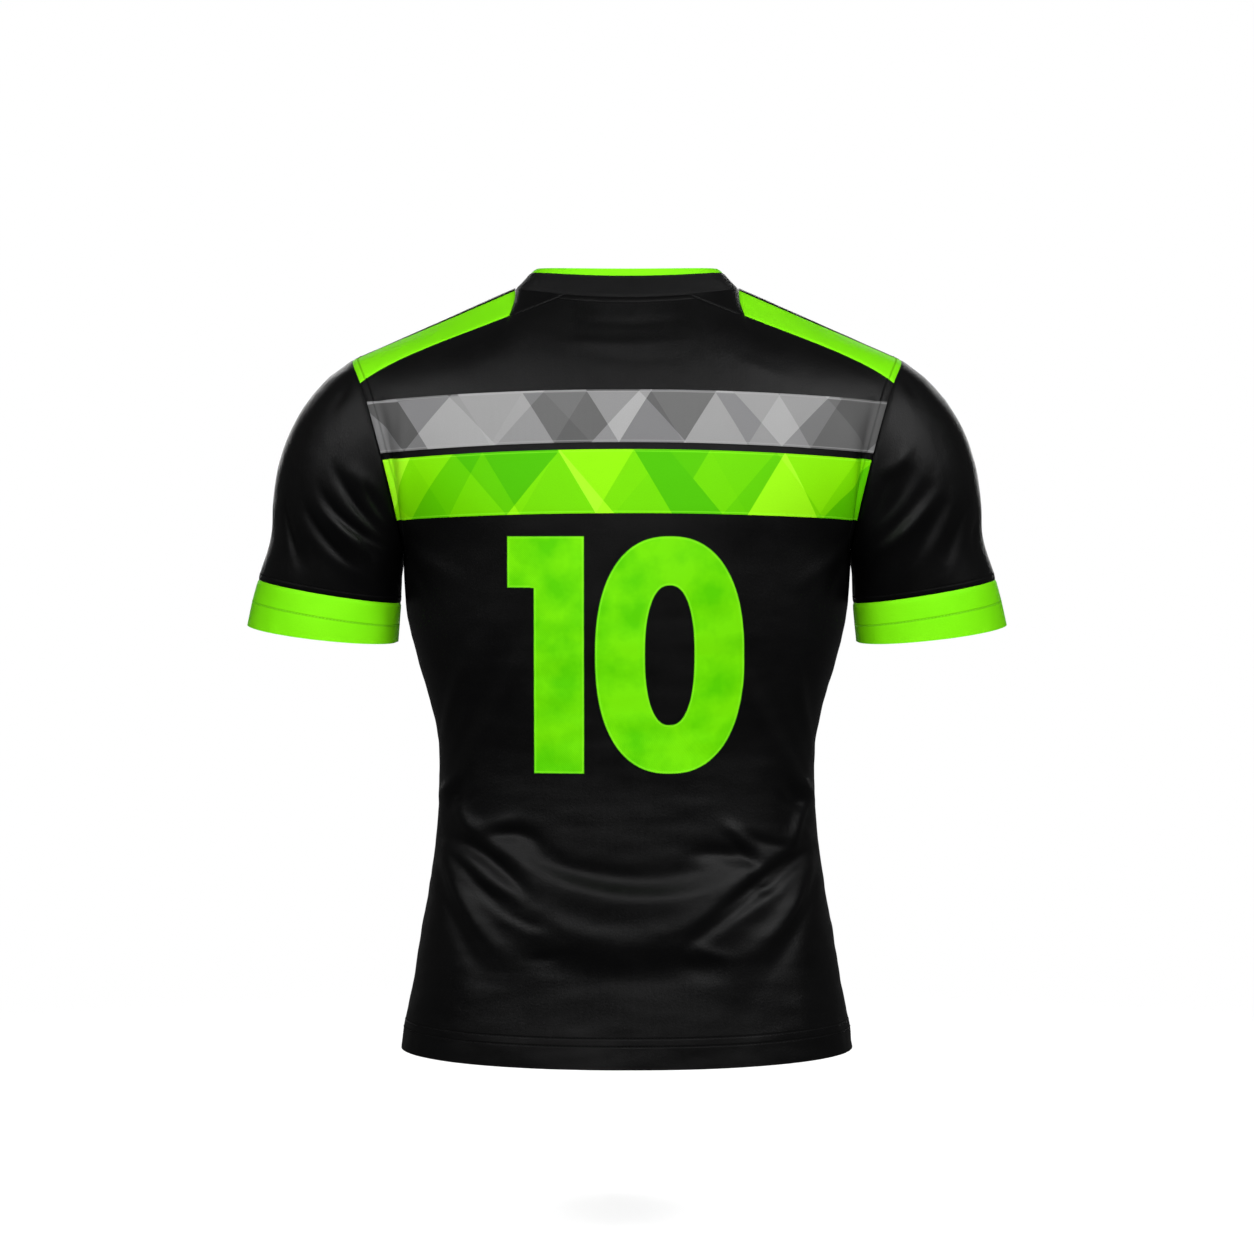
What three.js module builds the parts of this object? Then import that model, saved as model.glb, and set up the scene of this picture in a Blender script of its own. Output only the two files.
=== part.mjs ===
// Short-sleeved football jersey in the hollow form it has when worn.
// Sizes are millimetres. X runs to the wearer's right, Y to the front and Z up.
// The origin is the middle of the neck opening, level with the high points of the shoulders.

import * as THREE from "three";
import { mergeVertices } from "three/addons/utils/BufferGeometryUtils.js";

// Cloth and seams
const CLOTH = 1.2; // thickness of every cut piece
const SEAM_GAP = 0.42; // between the edges of two pieces that are sewn together
const ARMHOLE_GAP = 0.42;
const PRINT_LIFT = 0.4; // between the back panel and what is applied to it
const PRINT = 1.0; // thickness of an applied band or figure
const DIGIT_LIFT = 0.8;

// Neck opening, at the seam of the collar
const NECK_HALF = 100.5;
const NECK_SEAM_Y = -5;
const NECK_BACK = { y: -60, z: -10, power: 2 };
const NECK_FRONT = { y: 84, z: -78, power: 1.15 };

// Shoulder seam, from the neck to the tip of the armhole
const SHOULDER_TIP = { x: 246, z: -63 };

// Armhole, an upright oval that leans out at the top
const ARMPIT = { x: 201, z: -238 };
const ARMHOLE_BACK = { reach: 80, bow: 7.5 };
const ARMHOLE_FRONT = { reach: 78, bow: 12 };

// Half width of the body at the side seam, by height
const HALF_WIDTHS = [
  { z: -683, half: 202.5 },
  { z: -656, half: 199 },
  { z: -620, half: 192 },
  { z: -584, half: 186.5 },
  { z: -548, half: 180 },
  { z: -512, half: 174.5 },
  { z: -476, half: 170.5 },
  { z: -440, half: 168.8 },
  { z: -404, half: 169.6 },
  { z: -368, half: 177 },
  { z: -332, half: 187.6 },
  { z: -296, half: 196.6 },
  { z: -265, half: 199.8 },
  { z: -238, half: 201 },
];

// How far the back and the front stand from the side seams, by height at the centre
const BACK_DEPTHS = [
  { z: -683, depth: 131 },
  { z: -620, depth: 128 },
  { z: -560, depth: 122 },
  { z: -500, depth: 114 },
  { z: -430, depth: 110 },
  { z: -365, depth: 115 },
  { z: -300, depth: 122 },
  { z: -206, depth: 126 },
  { z: -150, depth: 121 },
  { z: -94, depth: 109 },
  { z: -45, depth: 84 },
];
const FRONT_DEPTHS = [
  { z: -683, depth: 112 },
  { z: -620, depth: 110 },
  { z: -560, depth: 106 },
  { z: -430, depth: 103 },
  { z: -300, depth: 111 },
  { z: -220, depth: 113 },
  { z: -150, depth: 107 },
  { z: -100, depth: 94 },
];

// How far a row of cloth falls from the centre to the edge, by height at the centre
const BACK_FALLS = [
  { z: -683, fall: -3.5 },
  { z: -620, fall: 0 },
  { z: -238, fall: 0 },
  { z: -201, fall: 5.7 },
  { z: -146, fall: 8.6 },
  { z: -94, fall: 9.3 },
];
const FRONT_FALLS = [
  { z: -683, fall: -3.5 },
  { z: -620, fall: 0 },
  { z: -238, fall: 0 },
  { z: -195, fall: -17 },
  { z: -150, fall: -46 },
];

// Each half of the body. Above the yoke height the cloth curves over to the neck and shoulder.
const BACK = {
  side: -1,
  depths: BACK_DEPTHS,
  falls: BACK_FALLS,
  armhole: ARMHOLE_BACK,
  neck: NECK_BACK,
  squareness: 2.4,
  yoke: -94,
  arriveAtCentre: new THREE.Vector3(0, 0.55, 0.83),
  arriveAtNeck: new THREE.Vector3(0.06, 0.85, 0.5),
  arriveAtTip: new THREE.Vector3(0, 1, 0.14),
};
const FRONT = {
  side: 1,
  depths: FRONT_DEPTHS,
  falls: FRONT_FALLS,
  armhole: ARMHOLE_FRONT,
  neck: NECK_FRONT,
  squareness: 2.3,
  yoke: -150,
  arriveAtCentre: new THREE.Vector3(0, -0.4, 0.92),
  arriveAtNeck: new THREE.Vector3(0.04, -1, -0.3),
  arriveAtTip: new THREE.Vector3(0, -1, -0.2),
};
const CURL_REACH = 0.4; // length of a curve's handles over its chord, above the yoke height

// How finely places on the cloth are searched for, and folds are followed
const HALVINGS = 40;
const PLACE_PASSES = 8;
const FOLD_STEPS = 14;
const FOLD_END_FADE = 0.08; // share of a fold's strength that is left at its ends, in half turns
const SMALLEST_FACE = 1e-5;
const SAME_POINT = 1e-4;

// Columns of cloth from the centre to the edge, as fractions of the neck and of the shoulder
const NECK_SHARE = 0.37;
const NECK_COLUMNS = [0, 0.18, 0.37, 0.58, 0.79, 1];
const GUSSET_COLUMN = 2;
const SHOULDER_STEPS = 7;

// Seams below the shoulder and the collar, as heights below them
const SHOULDER_PANEL_DROP = { neck: 25, tip: 22.5 };
const GUSSET_TIP_DROP = 1;

// Heights at the centre of the rows of cloth
const HEM = -683;
const FOLDS_LOW = -641;
const FOLDS_HIGH = -473;
const ARMHOLE_ROWS = [-236, -231, -222, -212];
const GREY_BAND = { top: -94, bottom: -139.8 };
const LIME_BAND = { top: -145.9, bottom: -201.3 };
const BAND_END_GAP = 1.2;
const FRONT_ARMHOLE_ROWS = [-234, -222, -202, -176];

// Main folds of the lower back, seen from behind: where each starts, turns and ends
const BACK_FOLDS = [
  { x0: -124, z0: -488, x1: 2, z1: -534, x2: 118, z2: -511, height: 5.0, spread: 12 },
  { x0: -124, z0: -490, x1: 8, z1: -567, x2: 117, z2: -514, height: 3.5, spread: 12 },
  { x0: -90, z0: -528, x1: -2, z1: -550, x2: 88, z2: -530, height: -3.0, spread: 9 },
  { x0: -164, z0: -487, x1: -122, z1: -503, x2: -86, z2: -537, height: -5.0, spread: 10 },
  { x0: 164, z0: -499, x1: 120, z1: -522, x2: 57, z2: -571, height: -5.0, spread: 10 },
  { x0: -162, z0: -500, x1: -138, z1: -556, x2: -102, z2: -591, height: 4.0, spread: 13 },
  { x0: 162, z0: -506, x1: 139, z1: -556, x2: 95, z2: -591, height: 4.0, spread: 13 },
  { x0: -121, z0: -483, x1: -95, z1: -481, x2: -72, z2: -494, height: -3.5, spread: 9 },
  { x0: 54, z0: -499, x1: 84, z1: -499, x2: 117, z2: -506, height: -3.5, spread: 9 },
  { x0: -140, z0: -375, x1: -148, z1: -410, x2: -160, z2: -446, height: 3.5, spread: 12 },
  { x0: 140, z0: -385, x1: 150, z1: -420, x2: 160, z2: -450, height: 3.5, spread: 12 },
];

// Sleeve sections from the armhole to the cuff seam: outer and inner point, and reach to each side
const SLEEVE_SECTIONS = [
  { outX: 246, outZ: -63, inX: 201, inZ: -238, back: 80, front: 78, sag: 0 },
  { outX: 268.6, outZ: -80, inX: 201.5, inZ: -243, back: 82, front: 79, sag: 0 },
  { outX: 288.5, outZ: -103, inX: 201.9, inZ: -248, back: 82, front: 79, sag: 0 },
  { outX: 303.5, outZ: -130, inX: 202.2, inZ: -254, back: 81, front: 78, sag: 0 },
  { outX: 313.5, outZ: -160, inX: 202.4, inZ: -260, back: 78, front: 76, sag: 0.5 },
  { outX: 318, outZ: -190, inX: 202.6, inZ: -266, back: 74, front: 73, sag: 1 },
  { outX: 320, outZ: -222, inX: 202.8, inZ: -273, back: 69, front: 69, sag: 2 },
  { outX: 331.5, outZ: -259, inX: 203, inZ: -280.5, back: 64, front: 64, sag: 3 },
];
const SLEEVE_ROWS = 7;
const CUFF_SECTIONS = [
  { outX: 331.6, outZ: -259.4, inX: 203, inZ: -280.9, back: 64, front: 64, sag: 3 },
  { outX: 337, outZ: -280, inX: 204.5, inZ: -298, back: 64, front: 64, sag: 4 },
  { outX: 341.5, outZ: -300, inX: 206, inZ: -315.5, back: 63, front: 64, sag: 5 },
];
const CUFF_ROWS = 1;
const SLEEVE_FOLDS = [
  { x0: 255, z0: -158, x1: 240, z1: -192, x2: 217, z2: -215, height: -3, spread: 8 },
  { x0: 272, z0: -172, x1: 248, z1: -205, x2: 214, z2: -228, height: -3, spread: 8 },
  { x0: 288, z0: -192, x1: 272, z1: -222, x2: 246, z2: -246, height: -2.5, spread: 8 },
];

// Collar rings: half width, and the back and front points
const COLLAR_RINGS = [
  { half: 93, backY: -56.5, backZ: 0.5, frontY: 80, frontZ: -68, sideZ: 8 },
  { half: 86.5, backY: -53, backZ: 9.3, frontY: 75, frontZ: -58.5, sideZ: 15.5 },
];
const TRIM_RINGS = [
  { half: 86, backY: -52.8, backZ: 9.9, frontY: 74.6, frontZ: -57.9, sideZ: 16.1 },
  { half: 81.5, backY: -50.5, backZ: 15.5, frontY: 71.5, frontZ: -53, sideZ: 18.6 },
];

// Player's number, seen from behind
const NUMBER_TOP = -221;
const NUMBER_BOTTOM = -428;
const DIGIT_ONE = { left: -104, stem: -81, right: -37, flagBottom: -266 };
const DIGIT_ZERO = { middle: 37, half: 65, bore: 21.2, boreTop: -264, boreBottom: -385 };
const ZERO_SQUARENESS = 2.35;
const ZERO_SEGMENTS = 28;

const BLACK = { color: 0x17181a, roughness: 0.55, metalness: 0 };
const LIME = { color: 0x74ee0c, roughness: 0.6, metalness: 0 };
const GREY = { color: 0xa4a4a6, roughness: 0.6, metalness: 0 };

// Smooth curve through one column of a table, by another column
function through(table, key, value) {
  const rows = [...table].sort((a, b) => a[key] - b[key]);
  const slopes = rows.map((row, i) => {
    const before = rows[Math.max(i - 1, 0)];
    const after = rows[Math.min(i + 1, rows.length - 1)];
    return (after[value] - before[value]) / (after[key] - before[key]);
  });
  return (at) => {
    const clamped = THREE.MathUtils.clamp(at, rows[0][key], rows[rows.length - 1][key]);
    let i = 0;
    while (i < rows.length - 2 && rows[i + 1][key] < clamped) {
      i += 1;
    }
    const span = rows[i + 1][key] - rows[i][key];
    const s = (clamped - rows[i][key]) / span;
    const rise = 3 * s * s - 2 * s * s * s;
    const bends = slopes[i] * s * (1 - s) * (1 - s) - slopes[i + 1] * s * s * (1 - s);
    return rows[i][value] * (1 - rise) + rows[i + 1][value] * rise + span * bends;
  };
}

function steps(from, to, count) {
  return Array.from({ length: count + 1 }, (_, i) => THREE.MathUtils.lerp(from, to, i / count));
}

const halfWidthAt = through(HALF_WIDTHS, "z", "half");

// Armhole, by height: its oval is stated by how far along it leans and how far it swings aside
const ARMHOLE_MIDDLE = (SHOULDER_TIP.z + ARMPIT.z) / 2;
const ARMHOLE_HALF = (SHOULDER_TIP.z - ARMPIT.z) / 2;

function armholeShare(z) {
  const along = THREE.MathUtils.clamp((z - ARMHOLE_MIDDLE) / ARMHOLE_HALF, -1, 1);
  return { along, aside: Math.sqrt(1 - along * along) };
}

function armholePoint(half, z) {
  const { along, aside } = armholeShare(z);
  const lean = THREE.MathUtils.lerp(ARMPIT.x, SHOULDER_TIP.x, (along + 1) / 2);
  const seam = (NECK_SEAM_Y * (along + 1)) / 2;
  const y = seam + half.side * half.armhole.reach * aside;
  return new THREE.Vector3(lean - half.armhole.bow * aside, y, z);
}

// Point on the body below the yoke height. Column 0 is the centre and column 1 the edge.
function bodyPoint(half, column, height) {
  const depth = half.depthAt(height);
  const edgeZ = height - half.fallAt(height);
  const edge =
    edgeZ > ARMPIT.z ? armholePoint(half, edgeZ) : new THREE.Vector3(halfWidthAt(edgeZ), 0, edgeZ);
  const n = half.squareness;
  const cut = 1 - Math.pow(Math.abs(edge.y) / depth, n);
  const reach = edge.x / Math.pow(cut, 1 / n);
  const edgeAngle = Math.asin(Math.min(1, Math.pow(edge.x / reach, n / 2)));
  const angle = Math.abs(column) * edgeAngle;
  const x = reach * Math.pow(Math.sin(angle), 2 / n);
  const y = half.side * depth * Math.pow(Math.max(0, Math.cos(angle)), 2 / n);
  const z = height + (edgeZ - height) * (x / edge.x) ** 2;
  return new THREE.Vector3(Math.sign(column) * x, y, z);
}

// Point on the line of the neck and shoulder seams
function topPoint(half, column) {
  const share = Math.abs(column);
  const way = Math.sign(column);
  if (share >= NECK_SHARE) {
    const out = (share - NECK_SHARE) / (1 - NECK_SHARE);
    const x = THREE.MathUtils.lerp(NECK_HALF, SHOULDER_TIP.x, out);
    return new THREE.Vector3(way * x, NECK_SEAM_Y, SHOULDER_TIP.z * out);
  }
  const turn = (share / NECK_SHARE) * (Math.PI / 2);
  const { y, z, power } = half.neck;
  const swing = Math.cos(turn);
  return new THREE.Vector3(
    way * NECK_HALF * Math.sin(turn),
    NECK_SEAM_Y + (y - NECK_SEAM_Y) * swing,
    z * Math.pow(swing, power),
  );
}

// Point above the yoke height, on a curve that rises from the body and arrives at the top line
function yokePoint(half, column, share) {
  const low = bodyPoint(half, column, half.yoke);
  const lower = bodyPoint(half, column, half.yoke - 1);
  const top = topPoint(half, column);
  const handle = low.distanceTo(top) * CURL_REACH;
  const rise = low.clone().sub(lower).normalize().multiplyScalar(handle);
  const round = THREE.MathUtils.smoothstep(Math.abs(column), 0, NECK_SHARE);
  const out = THREE.MathUtils.smoothstep(Math.abs(column), NECK_SHARE, 1);
  const arrive = half.arriveAtCentre.clone().lerp(half.arriveAtNeck, round).lerp(half.arriveAtTip, out);
  arrive.x *= Math.sign(column);
  arrive.normalize().multiplyScalar(handle);
  const curve = new THREE.CubicBezierCurve3(low, low.clone().add(rise), top.clone().sub(arrive), top);
  return curve.getPoint(share);
}

// Share of the curve above the yoke height at which it lies a given drop below its top
function shareAtDrop(half, column, drop) {
  const goal = topPoint(half, column).z - drop;
  let low = 0;
  let high = 1;
  for (let i = 0; i < HALVINGS; i += 1) {
    const middle = (low + high) / 2;
    if (yokePoint(half, column, middle).z < goal) {
      low = middle;
    } else {
      high = middle;
    }
  }
  return high;
}

for (const half of [BACK, FRONT]) {
  half.depthAt = through(half.depths, "z", "depth");
  half.fallAt = through(half.falls, "z", "fall");
}

// Point of the back's cloth at a given place, seen from behind
function backAt(x, z) {
  let height = z;
  let point = new THREE.Vector3();
  for (let i = 0; i < PLACE_PASSES; i += 1) {
    let low = 0;
    let high = 1;
    for (let k = 0; k < HALVINGS; k += 1) {
      const middle = (low + high) / 2;
      point = bodyPoint(BACK, middle, height);
      if (point.x < Math.abs(x)) {
        low = middle;
      } else {
        high = middle;
      }
    }
    height += z - point.z;
  }
  return new THREE.Vector3(x, point.y, z);
}

// A fold is a smooth ridge or trough along a curve through its three points
function foldCurve(fold, placeAt) {
  const turn = new THREE.Vector3(
    2 * fold.x1 - (fold.x0 + fold.x2) / 2,
    0,
    2 * fold.z1 - (fold.z0 + fold.z2) / 2,
  );
  const curve = new THREE.QuadraticBezierCurve3(
    new THREE.Vector3(fold.x0, 0, fold.z0),
    turn,
    new THREE.Vector3(fold.x2, 0, fold.z2),
  );
  return { ...fold, route: curve.getPoints(FOLD_STEPS).map((p) => placeAt(p.x, p.z)) };
}

function foldLift(folds, point) {
  let lift = 0;
  for (const fold of folds) {
    let nearest = Infinity;
    let share = 0;
    fold.route.forEach((p, i) => {
      const away = p.distanceTo(point);
      if (away < nearest) {
        nearest = away;
        share = i / (fold.route.length - 1);
      }
    });
    const fade = Math.sin(Math.PI * THREE.MathUtils.lerp(FOLD_END_FADE, 1 - FOLD_END_FADE, share));
    lift += fold.height * fade * Math.exp(-((nearest / fold.spread) ** 2));
  }
  return lift;
}

// Unit normals of a grid of points, turned to the side that faces out
function gridNormals(grid, closed, outward) {
  const rows = grid.length;
  const columns = grid[0].length;
  return grid.map((row, i) =>
    row.map((point, j) => {
      const up = grid[Math.min(i + 1, rows - 1)][j];
      const down = grid[Math.max(i - 1, 0)][j];
      const next = closed ? row[(j + 1) % columns] : row[Math.min(j + 1, columns - 1)];
      const last = closed ? row[(j + columns - 1) % columns] : row[Math.max(j - 1, 0)];
      const along = next.clone().sub(last);
      const rise = up.clone().sub(down);
      return along.cross(rise).normalize().multiplyScalar(outward);
    }),
  );
}

function moved(grid, normals, by) {
  return grid.map((row, i) => row.map((p, j) => p.clone().addScaledVector(normals[i][j], by)));
}

// Closed solid between two grids of points, with faces along every open edge
function solidBetween(outer, inner, closed, flip) {
  const positions = [];
  const triangle = (a, b, c) => {
    const corners = flip ? [a, c, b] : [a, b, c];
    const area = b.clone().sub(a).cross(c.clone().sub(a)).length();
    if (area > SMALLEST_FACE) {
      corners.forEach((p) => positions.push(p.x, p.y, p.z));
    }
  };
  const quad = (a, b, c, d) => {
    triangle(a, b, c);
    triangle(a, c, d);
  };
  const rows = outer.length;
  const columns = outer[0].length;
  const spans = closed ? columns : columns - 1;
  for (let i = 0; i < rows - 1; i += 1) {
    for (let j = 0; j < spans; j += 1) {
      const k = (j + 1) % columns;
      const rising = outer[i][j].distanceTo(outer[i + 1][k]);
      const falling = outer[i][k].distanceTo(outer[i + 1][j]);
      if (rising < falling) {
        quad(outer[i][j], outer[i][k], outer[i + 1][k], outer[i + 1][j]);
        quad(inner[i][j], inner[i + 1][j], inner[i + 1][k], inner[i][k]);
      } else {
        quad(outer[i][k], outer[i + 1][k], outer[i + 1][j], outer[i][j]);
        quad(inner[i][k], inner[i][j], inner[i + 1][j], inner[i + 1][k]);
      }
    }
  }
  for (let j = 0; j < spans; j += 1) {
    const k = (j + 1) % columns;
    const last = rows - 1;
    quad(outer[0][k], outer[0][j], inner[0][j], inner[0][k]);
    quad(outer[last][j], outer[last][k], inner[last][k], inner[last][j]);
  }
  if (!closed) {
    const end = columns - 1;
    for (let i = 0; i < rows - 1; i += 1) {
      quad(outer[i][0], outer[i + 1][0], inner[i + 1][0], inner[i][0]);
      quad(outer[i + 1][end], outer[i][end], inner[i][end], inner[i + 1][end]);
    }
  }
  const geometry = new THREE.BufferGeometry();
  geometry.setAttribute("position", new THREE.Float32BufferAttribute(positions, 3));
  return mergeVertices(geometry, SAME_POINT);
}

function piece(name, geometry, look) {
  geometry.computeVertexNormals();
  const mesh = new THREE.Mesh(geometry, new THREE.MeshStandardMaterial(look));
  mesh.name = name;
  return mesh;
}

// Sheet of cloth whose outer face is a grid of rows that run left to right and climb
function sheet(name, grid, look, { closed = false, outward = 1, lift = 0, thick = CLOTH } = {}) {
  const normals = gridNormals(grid, closed, outward);
  const outer = moved(grid, normals, lift);
  const inner = moved(grid, normals, lift - thick);
  return piece(name, solidBetween(outer, inner, closed, outward < 0), look);
}

// Moves the edges of a grid in, by half a seam's gap unless told otherwise
function trimmed(grid, { bottom = false, top = false, first = false, last = false }, by = SEAM_GAP / 2) {
  const pull = (p, toward) => {
    const way = toward.clone().sub(p).normalize();
    return p.clone().addScaledVector(way, by);
  };
  const result = grid.map((row) => row.map((p) => p.clone()));
  const rows = grid.length;
  const columns = grid[0].length;
  for (let j = 0; j < columns; j += 1) {
    if (bottom) {
      result[0][j] = pull(result[0][j], grid[1][j]);
    }
    if (top) {
      result[rows - 1][j] = pull(result[rows - 1][j], grid[rows - 2][j]);
    }
  }
  for (let i = 0; i < rows; i += 1) {
    if (first) {
      result[i][0] = pull(result[i][0], grid[i][1]);
    }
    if (last) {
      result[i][columns - 1] = pull(result[i][columns - 1], grid[i][columns - 2]);
    }
  }
  return result;
}

// Columns of half the body, from the centre out
const neckColumns = NECK_COLUMNS.map((share) => share * NECK_SHARE);
const shoulderColumns = steps(NECK_SHARE, 1, SHOULDER_STEPS);
const halfColumns = [...neckColumns, ...shoulderColumns.slice(1)];
const allColumns = [...halfColumns.slice(1).map((c) => -c).reverse(), ...halfColumns];

// Drop below the top line at which the back panel ends, for a column
function backTopDrop(column) {
  const share = Math.abs(column);
  if (share >= NECK_SHARE) {
    const out = (share - NECK_SHARE) / (1 - NECK_SHARE);
    return THREE.MathUtils.lerp(SHOULDER_PANEL_DROP.neck, SHOULDER_PANEL_DROP.tip, out);
  }
  const tip = neckColumns[GUSSET_COLUMN];
  if (share < tip - 1e-6) {
    return 0;
  }
  const start = topPoint(BACK, tip);
  const corner = topPoint(BACK, NECK_SHARE);
  const here = topPoint(BACK, share);
  const out = (here.x - start.x) / (corner.x - start.x);
  const startZ = start.z - GUSSET_TIP_DROP;
  const cornerZ = corner.z - SHOULDER_PANEL_DROP.neck;
  return here.z - THREE.MathUtils.lerp(startZ, cornerZ, out);
}

function backTopShare(column) {
  const drop = backTopDrop(column);
  return drop === 0 ? 1 : shareAtDrop(BACK, column, drop);
}

// Rows of the body below the armholes, which the back and the front share
const hemRows = steps(HEM, FOLDS_LOW, 2);
const foldRows = steps(FOLDS_LOW, FOLDS_HIGH, 12);
const waistRows = steps(FOLDS_HIGH, ARMPIT.z, 7);
const backRows = [
  ...hemRows,
  ...foldRows.slice(1),
  ...waistRows.slice(1),
  ...ARMHOLE_ROWS,
  LIME_BAND.bottom,
  (LIME_BAND.bottom + LIME_BAND.top) / 2,
  LIME_BAND.top,
  GREY_BAND.bottom,
  (GREY_BAND.bottom + GREY_BAND.top) / 2,
  GREY_BAND.top,
];
const frontRows = [
  ...hemRows,
  ...foldRows.slice(1).filter((_, i) => i % 3 === 2),
  ...waistRows.slice(1),
  ...FRONT_ARMHOLE_ROWS,
  FRONT.yoke,
];
const BACK_YOKE_SHARES = [0.35, 0.65, 0.87, 1];
const FRONT_YOKE_SHARES = [0.3, 0.6, 0.83, 0.95, 1];
const PANEL_STEPS = 3;

// Back panel: level rows with the folds, then rows that close up to its top seams
const folds = BACK_FOLDS.map((fold) => foldCurve(fold, backAt));
const levelGrid = backRows.map((height) => allColumns.map((c) => bodyPoint(BACK, c, height)));
const levelNormals = gridNormals(levelGrid, false, 1);
const foldedGrid = levelGrid.map((row, i) =>
  row.map((point, j) => {
    const atEdge = Math.abs(allColumns[j]) > 0.999;
    const lift = atEdge || backRows[i] > ARMPIT.z ? 0 : foldLift(folds, point);
    return point.clone().addScaledVector(levelNormals[i][j], lift);
  }),
);
const backYokeGrid = BACK_YOKE_SHARES.map((share) =>
  allColumns.map((c) => yokePoint(BACK, c, share * backTopShare(c))),
);
const backGrid = [...foldedGrid, ...backYokeGrid];
const backCut = trimmed(backGrid, { top: true });
for (let i = 0; i < backRows.length; i += 1) {
  if (backRows[i] <= ARMPIT.z) {
    backCut[i] = trimmed([backCut[i], backCut[i]], { first: true, last: true })[0];
  }
}

// Front panel
const frontGrid = [
  ...frontRows.map((height) => allColumns.map((c) => bodyPoint(FRONT, c, height))),
  ...FRONT_YOKE_SHARES.map((share) => allColumns.map((c) => yokePoint(FRONT, c, share))),
];
const frontCut = trimmed(frontGrid, { top: true });
for (let i = 0; i < frontRows.length; i += 1) {
  if (frontRows[i] <= ARMPIT.z) {
    frontCut[i] = trimmed([frontCut[i], frontCut[i]], { first: true, last: true })[0];
  }
}

const jersey = new THREE.Group();
jersey.add(sheet("back", backCut, BLACK));
jersey.add(sheet("front", frontCut, BLACK, { outward: -1 }));

// Shoulder panels and neck gussets fill the back up to the shoulder seams
function aboveBack(columns, way, stepsUp) {
  return steps(0, 1, stepsUp).map((share) =>
    columns.map((c) => {
      const from = backTopShare(c);
      return yokePoint(BACK, way * c, THREE.MathUtils.lerp(from, 1, share));
    }),
  );
}

for (const [side, way] of [["left", -1], ["right", 1]]) {
  const inOrder = (columns) => (way < 0 ? [...columns].reverse() : columns);
  const panel = aboveBack(inOrder(shoulderColumns), way, PANEL_STEPS);
  const inner = way > 0 ? { first: true } : { last: true };
  const panelCut = trimmed(panel, { bottom: true, top: true, ...inner });
  jersey.add(sheet(`shoulder_panel_${side}`, panelCut, LIME));
  const gusset = aboveBack(inOrder(neckColumns.slice(GUSSET_COLUMN)), way, 2);
  const gussetCut = trimmed(gusset, { bottom: true, first: true, last: true }, SEAM_GAP);
  jersey.add(sheet(`neck_gusset_${side}`, gussetCut, BLACK));
}

// Sleeves start from the points of the armhole, up its back and down its front
const backEdge = [
  ...backRows.filter((height) => height >= ARMPIT.z).map((height) => bodyPoint(BACK, 1, height)),
  ...backYokeGrid.map((row) => row[row.length - 1]),
  ...steps(0, 1, PANEL_STEPS)
    .slice(1)
    .map((share) => yokePoint(BACK, 1, THREE.MathUtils.lerp(backTopShare(1), 1, share))),
];
const frontEdge = [
  ...frontRows.filter((height) => height > ARMPIT.z).map((height) => bodyPoint(FRONT, 1, height)),
  ...FRONT_YOKE_SHARES.slice(0, -1).map((share) => yokePoint(FRONT, 1, share)),
].reverse();
const armholeEdge = [
  ...backEdge.map((point) => ({ point, half: BACK })),
  ...frontEdge.map((point) => ({ point, half: FRONT })),
];
const OUT_OF_ARMHOLE = new THREE.Vector3(
  SHOULDER_TIP.z - ARMPIT.z,
  0,
  ARMPIT.x - SHOULDER_TIP.x,
).normalize();

function sectionTable(table) {
  const rows = table.map((row, i) => ({ ...row, at: i }));
  const columns = ["outX", "outZ", "inX", "inZ", "back", "front", "sag"];
  const curves = Object.fromEntries(columns.map((c) => [c, through(rows, "at", c)]));
  return (share) => {
    const at = share * (rows.length - 1);
    return Object.fromEntries(columns.map((c) => [c, curves[c](at)]));
  };
}

// Point of a section at the same turn round the sleeve as a point of the armhole
function sleevePoint(section, { point, half }) {
  const along = (point.z - ARMHOLE_MIDDLE) / ARMHOLE_HALF;
  const seam = (NECK_SEAM_Y * (along + 1)) / 2;
  const turn = Math.atan2(Math.abs(point.y - seam) / half.armhole.reach, along);
  const share = (Math.cos(turn) + 1) / 2;
  const aside = Math.sin(turn);
  const reach = half === BACK ? section.back : section.front;
  return new THREE.Vector3(
    THREE.MathUtils.lerp(section.inX, section.outX, share),
    half.side * reach * aside,
    THREE.MathUtils.lerp(section.inZ, section.outZ, share) - section.sag * aside,
  );
}

const sleeveAt = sectionTable(SLEEVE_SECTIONS);
const cuffAt = sectionTable(CUFF_SECTIONS);
const sleeveGrid = steps(0, 1, SLEEVE_ROWS).map((share) =>
  armholeEdge.map((edge) => {
    const oval = sleevePoint(sleeveAt(share), edge);
    const strayed = edge.point.clone().sub(sleevePoint(sleeveAt(0), edge));
    const start = OUT_OF_ARMHOLE.clone().multiplyScalar(ARMHOLE_GAP);
    return oval.addScaledVector(strayed, (1 - share) ** 2).add(start.multiplyScalar(1 - share));
  }),
);
const sleeveFolds = SLEEVE_FOLDS.map((fold) =>
  foldCurve(fold, (x, z) => {
    const points = sleeveGrid.flat().filter((p) => p.y < 0);
    const near = points.reduce((best, p) => {
      const away = Math.hypot(p.x - x, p.z - z);
      return away < best.away ? { p, away } : best;
    }, { p: null, away: Infinity });
    return new THREE.Vector3(x, near.p.y, z);
  }),
);
const sleeveNormals = gridNormals(sleeveGrid, true, -1);
const foldedSleeve = sleeveGrid.map((row, i) =>
  row.map((point, j) => {
    const free = i > 0 && i < SLEEVE_ROWS;
    return point.clone().addScaledVector(sleeveNormals[i][j], free ? foldLift(sleeveFolds, point) : 0);
  }),
);
const cuffGrid = steps(0, 1, CUFF_ROWS).map((share) =>
  armholeEdge.map((edge) => sleevePoint(cuffAt(share), edge)),
);

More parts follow.
